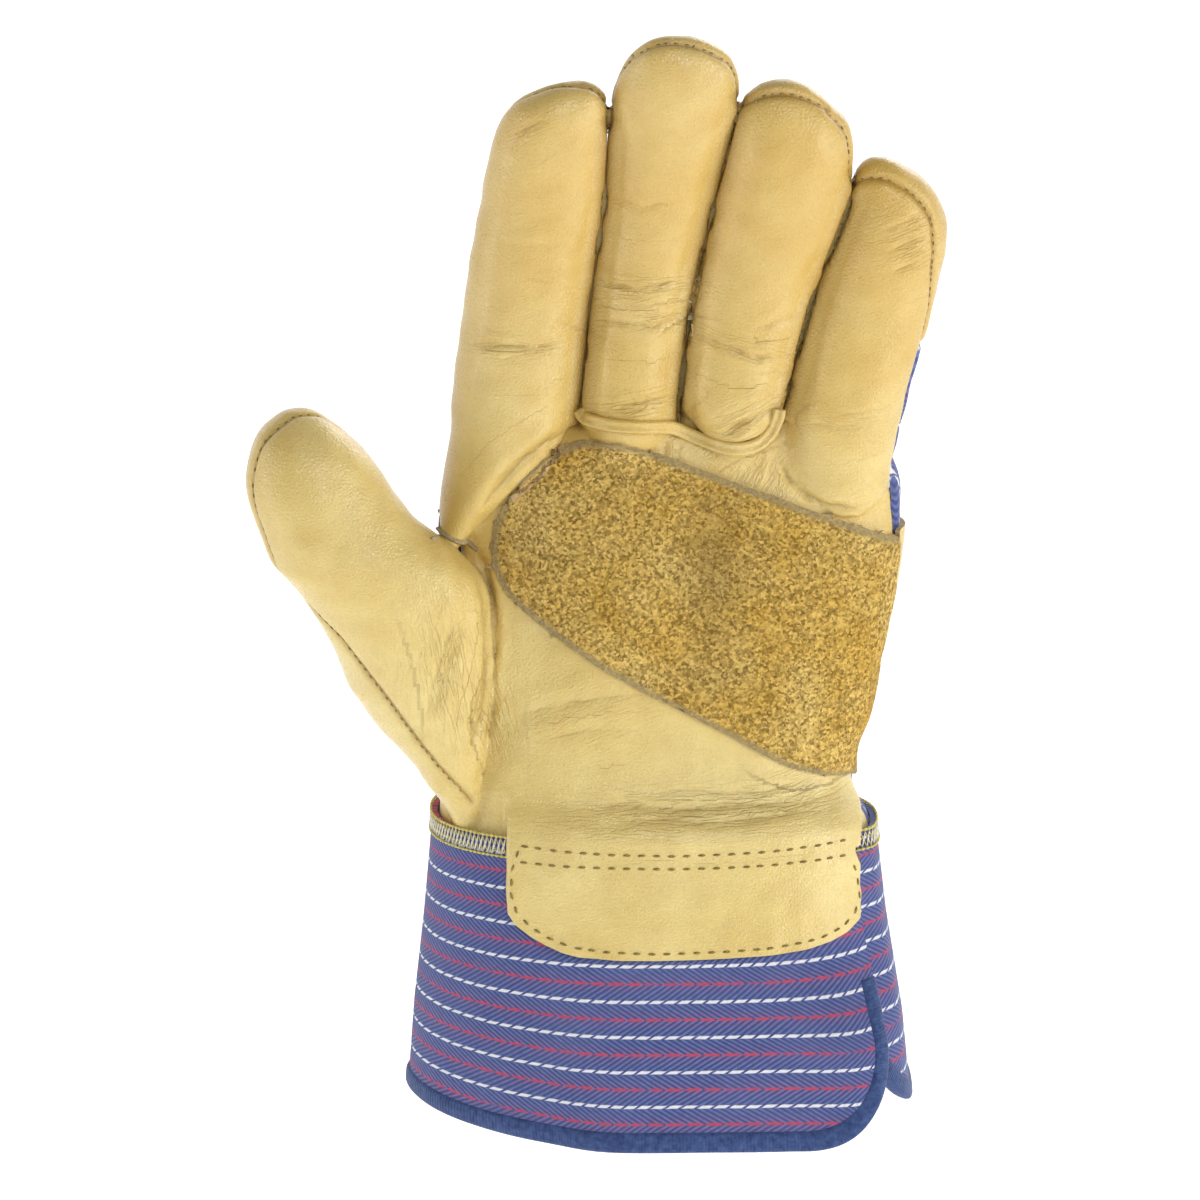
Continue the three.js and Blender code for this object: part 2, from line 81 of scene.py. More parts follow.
def addNode(tree, kind, settings=None, values=None, links=None):
    made = tree.nodes.new(kind)
    for key, value in (settings or {}).items():
        setattr(made, key, value)
    for key, value in (values or {}).items():
        made.inputs[key].default_value = value
    for key, socket in (links or {}).items():
        tree.links.new(socket, made.inputs[key])
    return made


def placeLamps():
    for name, lamp in lamps.items():
        light = bpy.data.lights.new(name, "AREA")
        light.shape = "RECTANGLE"
        light.size, light.size_y = (v * mm for v in lamp["size"])
        light.energy = lamp["power"]
        light.color = linearColour(lamp["colour"])
        source = bpy.data.objects.new(name, light)
        source.location = Vector(lamp["at"]) * mm
        source.rotation_euler = (Vector((0, 0, 0.06)) - source.location).to_track_quat("-Z", "Y").to_euler()
        scene.collection.objects.link(source)
    world = bpy.data.worlds.new("studio")
    scene.world = world
    world.use_nodes = True
    tree = world.node_tree
    dim = tree.nodes["Background"]
    dim.inputs["Color"].default_value = (1, 1, 1, 1)
    dim.inputs["Strength"].default_value = 0.08
    pale = addNode(tree, "ShaderNodeBackground", None, {"Color": (1, 1, 1, 1), "Strength": 0.85})
    seen = addNode(tree, "ShaderNodeLightPath").outputs["Is Camera Ray"]
    mixed = addNode(tree, "ShaderNodeMixShader", None, None, {0: seen, 1: dim.outputs[0], 2: pale.outputs[0]})
    tree.links.new(mixed.outputs[0], tree.nodes["World Output"].inputs["Surface"])


placeCamera()
placeLamps()
scene.view_settings.view_transform = "Standard"
print("camera and light ready")


# materials

clothUnit = 400.0  # mm of cloth in one unit of UV
phaseShift = 100.0  # whole rounds added so that no phase is negative


def calc(operation, *values):
    # a math node on numbers and fields
    fields = {k: v.socket for k, v in enumerate(values) if isinstance(v, Field)}
    numbers = {k: v for k, v in enumerate(values) if k not in fields}
    tree = next(iter(fields.values())).id_data
    return Field(addNode(tree, "ShaderNodeMath", {"operation": operation}, numbers, fields).outputs[0])


class Field:
    # one output in a material, and arithmetic on it adds the nodes that work it out
    def __init__(self, socket):
        self.socket = socket

    def __add__(self, other):
        return calc("ADD", self, other)

    def __sub__(self, other):
        return calc("SUBTRACT", self, other)

    def __rsub__(self, other):
        return calc("SUBTRACT", other, self)

    def __mul__(self, other):
        return calc("MULTIPLY", self, other)

    def __truediv__(self, other):
        return calc("DIVIDE", self, other)

    def __abs__(self):
        return calc("ABSOLUTE", self)

    def stretch(self, low, high, toLow=0.0, toHigh=1.0):
        made = addNode(self.socket.id_data, "ShaderNodeMapRange", {"clamp": True},
                       {"From Min": low, "From Max": high, "To Min": toLow, "To Max": toHigh}, {"Value": self.socket})
        return Field(made.outputs[0])


def startMaterial(name, values):
    material = bpy.data.materials.new(name)
    material.use_nodes = True
    tree = material.node_tree
    shader = tree.nodes["Principled BSDF"]
    for key, value in values.items():
        shader.inputs[key].default_value = value
    return material, tree, shader, addNode(tree, "ShaderNodeTexCoord").outputs["Object"]


def finishSurface(shader, colour, height, strength, distance):
    tree = shader.id_data
    bump = addNode(tree, "ShaderNodeBump", None, {"Strength": strength, "Distance": distance}, {"Height": height.socket})
    tree.links.new(colour, shader.inputs["Base Color"])
    tree.links.new(bump.outputs[0], shader.inputs["Normal"])


def blendColour(share, first, second):
    # a colour is hex text or a socket
    values = {k: (*linearColour(v), 1) for k, v in ((6, first), (7, second)) if isinstance(v, str)}
    links = {k: v for k, v in ((6, first), (7, second)) if k not in values}
    links[0] = share.socket
    return addNode(share.socket.id_data, "ShaderNodeMix", {"data_type": "RGBA"}, values, links).outputs[2]


def noiseOn(place, size, detail=2.0, rough=0.5):
    # size is in mm
    made = addNode(place.id_data, "ShaderNodeTexNoise", None,
                   {"Scale": 1000.0 / size, "Detail": detail, "Roughness": rough}, {"Vector": place})
    return Field(made.outputs["Fac"])


def attributeOf(tree, name, output="Fac"):
    made = addNode(tree, "ShaderNodeAttribute", {"attribute_name": name, "attribute_type": "GEOMETRY"})
    return made.outputs[output]


def partsOf(vector):
    made = addNode(vector.id_data, "ShaderNodeSeparateXYZ", None, None, {"Vector": vector})
    return [Field(made.outputs[k]) for k in range(3)]


def clothParts(tree):
    return partsOf(addNode(tree, "ShaderNodeTexCoord").outputs["UV"])


# crease is the brown of the painted shade in creases, beside the slits between the fingers and along sewn edges
grainLook = {"base": "#D9BA62", "pale": "#EAD793", "deep": "#C59B48", "crease": "#8E6828", "pore": 0.95, "roughness": 0.29}


def grainLeather():
    # full grain pigskin, drum dyed and lightly glazed: pebbled, half glossy, with thin broken creases
    look = grainLook
    material, tree, shader, place = startMaterial("pigskinGrainLeather", {
        "Specular IOR Level": 0.5, "IOR": 1.5, "Coat Weight": 0.25, "Coat Roughness": 0.3})
    upward = partsOf(place)[2]
    colour = blendColour(noiseOn(place, 38, 3).stretch(0.3, 0.7), look["base"], look["pale"])
    # paler towards the wrist and deeper from the palm up the fingers
    colour = blendColour(upward.stretch(0.02, 0.1, 0.45, 0.0), colour, look["pale"])
    colour = blendColour(upward.stretch(0.06, 0.14, 0.0, 0.45), colour, look["deep"])
    colour = blendColour(noiseOn(place, 9, 4, 0.6).stretch(0.35, 0.7) * 0.3, colour, look["deep"])
    # painted shade: darker brown in the crease valleys, beside the slits between the fingers and along sewn edges
    # (there partly dirt)
    colour = blendColour(Field(attributeOf(tree, "fold")).stretch(0.1, 2.0) * 0.5, colour, look["crease"])
    cells = addNode(tree, "ShaderNodeTexVoronoi", {"feature": "DISTANCE_TO_EDGE"}, {"Scale": 1000 / look["pore"]},
                    {"Vector": place}).outputs["Distance"]
    pebble = Field(cells).stretch(0.0, 0.3)
    fine = noiseOn(place, 0.5, 2)
    wave = noiseOn(place, 3.4, 3, 0.6)
    across, _, strength = partsOf(attributeOf(tree, "crease", "Vector"))
    away = abs(across + (noiseOn(place, 2.6, 2) - 0.5) * 0.7)
    strong = strength * noiseOn(place, 5.0, 2).stretch(0.36, 0.5, 0.25, 1.0)
    thin = away.stretch(0.08, 0.5, 1.0, 0.0) * strong
    lip = away.stretch(0.0, 1.5, 1.0, 0.0) * strong
    across, along, strength = partsOf(attributeOf(tree, "wrinkle", "Vector"))
    drawn = addNode(tree, "ShaderNodeCombineXYZ", None, None, {"X": across.socket, "Y": (along * 0.13).socket}).outputs[0]
    wrinkle = addNode(tree, "ShaderNodeTexNoise", {"noise_dimensions": "2D"},
                      {"Scale": 0.8, "Detail": 1.5, "Roughness": 0.5}, {"Vector": drawn}).outputs["Fac"]
    ridges = abs(Field(wrinkle) - 0.5).stretch(0.0, 0.09, 1.0, 0.0) * strength
    # painted shade: the fine wrinkle lines and the thin crease lines are darkened in colour
    colour = blendColour(ridges * 0.14, colour, look["crease"])
    colour = blendColour(thin * 0.45, colour, look["crease"])
    height = pebble * 0.2
    for part, much in ((fine, 0.12), (wave, 0.6), (ridges, -0.7), (thin, -0.5), (lip, -1.5)):
        height = height + part * much
    rough = (pebble * -0.4 + fine).stretch(0.0, 1.0, look["roughness"] - 0.04, look["roughness"] + 0.16)
    tree.links.new(rough.socket, shader.inputs["Roughness"])
    finishSurface(shader, colour, height, 0.75, 0.0005)
    return material


suedeLook = {"light": "#FFE99E", "mid": "#E3B857", "dark": "#6D5119", "edge": "#A2926C", "nap": 0.62}


def suedeLeather():
    # split pigskin with its flesh side out: brushed nap that lies in tufts, no gloss, grey-brown cut edge
    look = suedeLook
    material, tree, shader, place = startMaterial("pigskinSuede", {
        "Roughness": 0.95, "Specular IOR Level": 0.2, "Sheen Weight": 0.03, "Sheen Roughness": 0.6})
    stray = addNode(tree, "ShaderNodeTexNoise", None, {"Scale": 1500.0, "Detail": 2.0}, {"Vector": place}).outputs["Color"]
    bent = addNode(tree, "ShaderNodeVectorMath", {"operation": "MULTIPLY_ADD"}, {1: (0.0006,) * 3},
                   {0: stray, 2: place}).outputs[0]
    cells = addNode(tree, "ShaderNodeTexVoronoi", None, {"Scale": 1000 / look["nap"]}, {"Vector": bent}).outputs["Color"]
    tufts = (partsOf(cells)[0] * 0.62 + noiseOn(place, 1.0, 2, 0.6) * 0.7).stretch(0.32, 0.98)
    colour = blendColour(noiseOn(place, 20, 4, 0.6).stretch(0.36, 0.64) * 0.4, look["mid"], look["light"])
    colour = blendColour((1.0 - tufts) * 0.88, colour, look["dark"])
    # painted shade: the suede is darkened in the palm's hollows
    colour = blendColour(Field(attributeOf(tree, "dent")).stretch(0.3, 1.9, 0.0, 0.42), colour, look["dark"])
    colour = blendColour(Field(attributeOf(tree, "edge")).stretch(0.9, 1.9, 1.0, 0.0) * 0.75, colour, look["edge"])
    finishSurface(shader, colour, tufts * 0.9 + noiseOn(place, 0.6, 2) * 0.4, 1.0, 0.0007)
    return material


def fibrousHide(name, roughness, size, colours, bump):
    material, tree, shader, place = startMaterial(name, {"Roughness": roughness, "Specular IOR Level": 0.2})
    fibre = noiseOn(place, size, 3, 0.6).stretch(0.3, 0.7)
    finishSurface(shader, blendColour(fibre, *colours), fibre, *bump)
    return material


canvasLook = {
    "warp": "#6A76AA", "weft": "#3F4C84", "shade": "#394572", "faded": "#7A82AE", "white": "#E9E9EE", "red": "#C2485C",
    "firstStripe": 21.9, "pitch": 8.48, "twill": 1.15, "dash": 3.5,
}


def dashes(phase, share):
    # 1 over that share of each round of the phase
    return calc("LESS_THAN", calc("FRACT", phase + phaseShift), share)


def stripedCanvas():
    # herringbone cotton drill, indigo with purple, piece dyed, with white and thin red yarns
    # UV is the cloth's own run and drop
    look = canvasLook
    material, tree, shader, place = startMaterial("stripedCottonDrill", {
        "Roughness": 0.88, "Specular IOR Level": 0.2, "Sheen Weight": 0.15})
    run, drop = (part * clothUnit for part in clothParts(tree)[:2])
    drop = drop + (noiseOn(place, 6, 2) - 0.5) * 0.35
    cycle = (drop - look["firstStripe"]) / look["pitch"] + phaseShift
    fromWhite = calc("PINGPONG", cycle, 0.5) * look["pitch"]
    fromRed = look["pitch"] / 2 - fromWhite
    lean = calc("GREATER_THAN", calc("FRACT", cycle), 0.5) * 2.0 - 1.0
    slant = run * 0.62 + fromWhite * 0.95
    twill = calc("SINE", slant * (2 * math.pi / look["twill"])).stretch(-0.7, 0.9)
    slub = noiseOn(place, 1.1, 3, 0.6)
    colour = blendColour(twill, look["weft"], look["warp"])
    colour = blendColour(slub.stretch(0.35, 0.7) * 0.45, colour, look["shade"])
    colour = blendColour(noiseOn(place, 22, 3).stretch(0.3, 0.7) * 0.16, colour, look["faded"])
    white = fromWhite.stretch(0.26, 0.48, 1.0, 0.0) * dashes((run + fromWhite * lean * 1.6) / look["dash"], 0.74)
    red = fromRed.stretch(0.2, 0.45, 1.0, 0.0) * dashes((run + fromRed * 2.4) / (look["dash"] * 1.25), 0.78)
    redShow = noiseOn(place, 9, 2).stretch(0.3, 0.45, 0.35, 1.0)
    hatch = fromRed.stretch(0.6, 2.6, 0.22, 0.0) * twill * redShow
    colour = blendColour(hatch, colour, look["red"])
    colour = blendColour(red * 0.85 * redShow, colour, look["red"])
    colour = blendColour(white * 0.95, colour, look["white"])
    finishSurface(shader, colour, twill * 0.6 + slub * 0.4 + white * 0.5, 0.5, 0.0004)
    return material


def navyTape():
    # woven cotton binding tape, ribbed across its width each 0.8 mm
    material, tree, shader, place = startMaterial("navyCottonTape", {
        "Roughness": 0.8, "Specular IOR Level": 0.25, "Sheen Weight": 0.2})
    ribs = calc("SINE", clothParts(tree)[0] * (clothUnit * 2 * math.pi / 0.8))
    slub = noiseOn(place, 1.6, 3, 0.6)
    colour = blendColour(slub.stretch(0.3, 0.7), "#26386A", "#435A8C")
    finishSurface(shader, colour, ribs * 0.3 + slub, 0.5, 0.0003)
    return material


def spunThread(name, colour, dark):
    # bonded sewing thread, twisted, slightly shiny
    material, tree, shader, place = startMaterial(name, {"Roughness": 0.55, "Specular IOR Level": 0.35})
    ply = noiseOn(place, 0.5, 2).stretch(0.3, 0.7)
    tree.links.new(blendColour(ply, dark, colour), shader.inputs["Base Color"])
    return material


grain = grainLeather()
suede = suedeLeather()
# the inside of the hide, unfinished and fuzzy
flesh = fibrousHide("hideFleshSide", 0.95, 1.4, ("#A98C5E", "#C9B084"), (0.6, 0.0004))
# the raw knife-cut edge of the hide: paler grey-brown fibres
edgeFibre = fibrousHide("hideCutEdge", 0.9, 0.9, ("#9A8A66", "#C4B288"), (0.5, 0.0003))
cuffCloth = stripedCanvas()
tape = navyTape()
oliveThread = spunThread("oliveThread", "#A58F4C", "#6E5D2B")
yellowThread = spunThread("yellowThread", "#E3D67E", "#B9A850")
whiteThread = spunThread("whiteThread", "#F1EFE6", "#BDB8A8")
print("materials ready")


# the hand's form: sections (z, x, y, width, depth), y counted from the curl line

curlLine = [(-40, 0), (0, 0), (90, -1), (130, -5), (155, -10), (175, -16), (200, -26)]

handForm = {
    "voxel": 0.82,
    "grow": 0.6,
    "sides": 44,
    "palm": [
        (-34, 0.6, 0.8, 117.5, 70), (-24, 0.4, 0.5, 114, 66), (-12, 0.2, 0.2, 111.5, 62.5), (0, 0, 0, 109, 59),
        (5, -1.4, 0, 105.6, 55), (11, -2.1, 0.5, 102.6, 51), (19, -1.5, 1, 101.2, 48), (29, 0.7, 1, 103.5, 46),
        (46, 2.5, 1.2, 106, 43.5), (66, 4.7, 1.6, 109, 39), (78, 4.7, 2.4, 110, 35), (87, 6.2, 2.8, 105.5, 31),
        (94, 9, 2.8, 92, 26), (99, 11, 2.4, 72, 20), (103, 12, 1.6, 50, 12),
    ],
    "index": [
        (70, -50.4, -8, 5, 10), (74, -48, -5, 9, 17), (79, -45.4, -3.2, 13.6, 23), (84, -42.4, -2.4, 18.4, 26),
        (89, -39.4, -2.2, 22.8, 27.6), (95, -36.2, -2, 27, 28), (101, -34.3, -1.8, 29.6, 28), (108, -33.5, -1.5, 30.2, 27.5),
        (130, -31.1, -0.5, 29.6, 26), (155, -27.2, 0, 28.8, 25), (166, -25.6, 0, 27.4, 24), (175, -24.2, 0, 25.6, 21.6),
        (180, -22.3, 0, 21.6, 17), (183.2, -20.2, 0, 14, 10.5), (184.6, -19.4, 0, 7, 5),
    ],
    "middle": [
        (90, -6.4, -2, 15, 14), (97, -6.3, -2, 20.4, 22), (102, -6.2, -1.6, 22.6, 26), (108, -6.1, -1, 23, 27),
        (120, -4.8, 0, 23.1, 26.5), (140, -1.8, 1, 24.4, 25.5), (155, 0.8, 1.2, 25.4, 25), (168, 2.6, 1.2, 27.8, 24.5),
        (179, 4.3, 1, 29.8, 23.6), (186.4, 5.1, 0.6, 28.4, 20.4), (191.6, 5.1, 0.3, 23.2, 15.4), (195, 5, 0, 14.8, 9),
        (196.3, 5, 0, 7, 4.5),
    ],
    "ring": [
        (94, 19.4, -8, 6, 9), (96.2, 19.2, -5.4, 13, 17), (99.4, 18.9, -3.4, 19, 23), (104, 18.7, -2.4, 23, 26.5),
        (109, 18.9, -1.8, 24.8, 27), (117, 20.2, -1, 26.2, 26.5), (130, 22.7, -0.5, 27.9, 26), (142, 25.9, -0.5, 29.4, 25.5),
        (155, 29.6, -0.8, 31.1, 25), (167, 31.4, -0.8, 29.9, 24), (174.5, 31.2, -0.5, 27.2, 20.6),
        (180.2, 30, -0.2, 20.8, 15), (184, 29.3, 0, 12.8, 9), (185.4, 29.1, 0, 6, 4.5),
    ],
    "little": [
        (79.5, 46.5, -9, 8, 9), (82, 45.6, -6, 17, 16), (86, 44.6, -3.8, 24, 22), (93, 43.8, -2.2, 27.8, 25.2),
        (105, 45.8, -1.5, 28.9, 25.5), (115, 48.2, -1, 29.3, 25), (125, 50.7, -0.5, 29.6, 24.5), (137, 53.9, 0, 28.3, 24),
        (148, 56.4, 0, 25.6, 22), (156, 56.4, 0, 21.2, 18.4), (161.4, 54.4, 0, 15.4, 13.6),
        (164.6, 52.9, 0, 9.2, 8), (165.8, 52.4, 0, 4.6, 4),
    ],
    "thumb": [
        (-6, -44.4, -14, 4, 6), (0, -45.4, -14.6, 7.6, 10), (7, -46.8, -13.6, 11, 14), (14, -48.8, -12.5, 14.6, 18),
        (22, -51, -11.6, 22, 23), (30, -54.2, -12, 29.6, 26.4),
        (38, -56.4, -13, 35.4, 29.5), (48, -58.3, -14, 39.2, 32), (58, -61.3, -15, 43.4, 33.5), (64, -64.3, -15.5, 46.4, 34),
        (70, -69, -16, 45.6, 33.5), (77.6, -75.3, -16, 39.2, 32.5), (84, -79.3, -16, 36, 31), (90, -81.5, -16, 32.8, 28.5),
        (96, -83, -15.5, 27.4, 24.5), (100.8, -84.2, -15, 20, 18.5), (104.2, -85, -14.5, 11.4, 11),
        (105.6, -85.6, -14.5, 5.4, 6),
    ],
}

squareness = {"palm": 2.45, "thumb": 2.1, "index": 2.02, "middle": 2.02, "ring": 2.02, "little": 2.02}

# lines seen from the front, as (x, z)
gapLines = {
    "indexMiddle": [(-17.9, 102.2), (-17.6, 107), (-15.6, 130), (-12.2, 155), (-11.2, 179), (-11, 210)],
    "middleRing": [(5.4, 100.4), (5.8, 107), (8.6, 130), (13.7, 155), (19.3, 179), (21.5, 210)],
    "ringLittle": [(29.8, 103.5), (31.4, 108), (36.7, 130), (45.4, 155), (47.5, 168), (47.5, 210)],
}
gapTops = {"indexMiddle": 177.4, "middleRing": 183.5, "ringLittle": 165}
baseLine = [
    (-60, 102.2), (-17.9, 102.2), (5.4, 100.4), (9.5, 98.6), (14, 97.4), (19.5, 97), (24.5, 98), (27.8, 100.4),
    (29.8, 103.5), (90, 103.5),
]
patchOutline = [
    (75, 66), (55, 73.6), (42, 79), (29, 84), (18, 87.8), (7, 92), (-3.7, 96), (-8.4, 97.2), (-13, 97.4), (-17.4, 96.9),
    (-21, 95.8), (-27, 93), (-32, 88.6), (-36, 82.6), (-38.8, 76), (-39.2, 70.6), (-38.6, 66), (-35.6, 60.6),
    (-29.6, 55.2), (-22.8, 50.2), (-13.2, 43.6), (-2.4, 37.6), (8.4, 32), (19.3, 26.2), (27, 21.4), (31.4, 18.8),
    (35, 17.2), (41, 15), (48.5, 12.6), (75, 6),
]
thumbSeamLine = [
    (-84, 60), (-80, 56.4), (-75.2, 52.2), (-65.8, 39.4), (-56.5, 25.2), (-52, 18.8), (-48.2, 14.6), (-45, 10.8),
    (-42.8, 7), (-41, 2), (-40.5, -40),
]
thumbPanelEdge = [(-37, -40), (-37, 20), (-44, 55), (-52, 73), (-58, 82), (-58, 120)]
tabOutline = [
    (-33.4, 9), (-33.6, 5), (-34.4, 1.6), (-36.2, -2), (-36.9, -6), (-36.8, -11.5), (-35.8, -15.6), (-33.7, -18.6),
    (-30.1, -21), (-26.5, -22.8), (-22.5, -24.4), (-18, -25.4), (-8.4, -26), (1.3, -26), (11, -25.8), (20.6, -25.5),
    (30.3, -25.3), (37.6, -24.7), (43.2, -23.6), (47.2, -22), (50.2, -19.5), (51.6, -16), (51.6, -12), (50.6, -8),
    (48.9, -3.6), (48, 0), (48, 9),
]
tipStarts = {"middle": 150, "ring": 142, "little": 120}


def fairRows(rows, steps=4):
    # the rows with smooth ones put between them
    p = np.array(rows, float)
    p = np.vstack([2 * p[0] - p[1], p, 2 * p[-1] - p[-2]])
    out = []
    for k in range(1, len(p) - 2):
        a, b, c, d = p[k - 1:k + 3]
        for t in np.arange(steps) / steps:
            out.append(0.5 * (2 * b + (c - a) * t + (2 * a - 5 * b + 4 * c - d) * t ** 2 + (3 * b - a - 3 * c + d) * t ** 3))
    return out + [p[-2]]


def curlAt(z):
    return np.interp(z, *zip(*curlLine))


def bridgeRings(bm, rings):
    for low, high in zip(rings, rings[1:]):
        bmesh.ops.bridge_loops(bm, edges=low + high)
    bmesh.ops.recalc_face_normals(bm, faces=bm.faces)


def addLoft(bm, rows, power, grow):
    rings = []
    fair = fairRows(rows)
    for k, (z, x, y, width, depth) in enumerate(fair):
        ends = k in (0, len(fair) - 1)
        ring = bmesh.ops.create_circle(bm, cap_ends=ends, segments=handForm["sides"], radius=1)["verts"]
        for v in ring:
            c, s = v.co.x, v.co.y
            v.co = Vector((
                x + (width / 2 + grow) * math.copysign(abs(c) ** (2 / power), c),
                y + float(curlAt(z)) + (depth / 2 + grow) * math.copysign(abs(s) ** (2 / power), s),
                z)) * mm
        rings.append(list(dict.fromkeys(e for v in ring for e in v.link_edges)))
    bridgeRings(bm, rings)


def meshObject(name, mesh):
    made = bpy.data.objects.new(name, mesh)
    scene.collection.objects.link(made)
    return made


def appliedMesh(obj, name):
    bpy.context.view_layer.update()
    mesh = bpy.data.meshes.new_from_object(obj.evaluated_get(bpy.context.evaluated_depsgraph_get()))
    mesh.name = name
    bpy.data.objects.remove(obj)
    return mesh


def fusedHand():
    mesh = bpy.data.meshes.new("handLofts")
    lofts = bmesh.new()
    for part in ("palm", "index", "middle", "ring", "little", "thumb"):
        addLoft(lofts, handForm[part], squareness[part], -handForm["grow"])
    lofts.to_mesh(mesh)
    lofts.free()
    form = meshObject("handForm", mesh)
    fuse = form.modifiers.new("fuse", "REMESH")
    fuse.mode = "VOXEL"
    fuse.voxel_size = handForm["voxel"] * mm
    relax = form.modifiers.new("relax", "SMOOTH")
    relax.factor = 0.5
    relax.iterations = 5
    return appliedMesh(form, "handForm")


def readPoints(mesh):
    flat = np.empty(len(mesh.vertices) * 3)
    mesh.vertices.foreach_get("co", flat)
    return flat.reshape(-1, 3) / mm


def readNormals(mesh):
    flat = np.empty(len(mesh.vertices) * 3)
    mesh.vertices.foreach_get("normal", flat)
    return flat.reshape(-1, 3)


def writePoints(mesh, points):
    mesh.vertices.foreach_set("co", (points * mm).ravel())
    mesh.update()


def ease(value, low, high):
    t = np.clip((value - low) / (high - low), 0, 1)
    return t * t * (3 - 2 * t)


def easeOne(value, low, high):
    return float(ease(np.array(value, float), low, high))


def ripple(points, size, seed=0.0):
    # a smooth pseudo-random field between -1 and 1, with swells about size across
    k = 2 * math.pi / size
    x, y, z = points.T
    a = np.sin(k * (0.81 * x + 0.43 * z + 0.31 * y) + 1.7 + seed)
    b = np.sin(k * (-0.52 * x + 0.77 * z - 0.4 * y) * 1.13 + 4.1 + 2.3 * seed)
    c = np.sin(k * (0.27 * x - 0.68 * z + 0.72 * y) * 0.87 + 0.6 + 5.1 * seed)
    return (a * b + b * c + c * a) / 2


def toLine(x, z, line):
    # signed distance to an open line, the distance run along it, and its whole length
    best = np.full(x.shape, 1e9)
    side = np.ones(x.shape)
    ran = np.zeros(x.shape)
    total = 0.0
    for (ax, az), (bx, bz) in zip(line, line[1:]):
        dx, dz = bx - ax, bz - az
        span = math.hypot(dx, dz)
        t = np.clip(((x - ax) * dx + (z - az) * dz) / span ** 2, 0, 1)
        near = np.hypot(x - ax - t * dx, z - az - t * dz)
        closer = near < best
        cross = dx * (z - az) - dz * (x - ax)
        best = np.where(closer, near, best)
        side = np.where(closer, np.where(cross >= 0, 1.0, -1.0), side)
        ran = np.where(closer, total + t * span, ran)
        total += span
    return best * side, ran, total


def insideOutline(x, z, outline):
    # distance to a closed outline, positive inside it
    best = np.full(x.shape, 1e9)
    inside = np.zeros(x.shape, bool)
    for (ax, az), (bx, bz) in zip(outline, outline[1:] + outline[:1]):
        dx, dz = bx - ax, bz - az
        t = np.clip(((x - ax) * dx + (z - az) * dz) / (dx * dx + dz * dz), 0, 1)
        best = np.minimum(best, np.hypot(x - ax - t * dx, z - az - t * dz))
        if az != bz:
            inside ^= ((az > z) != (bz > z)) & (x < dx * (z - az) / dz + ax)
    return np.where(inside, best, -best)


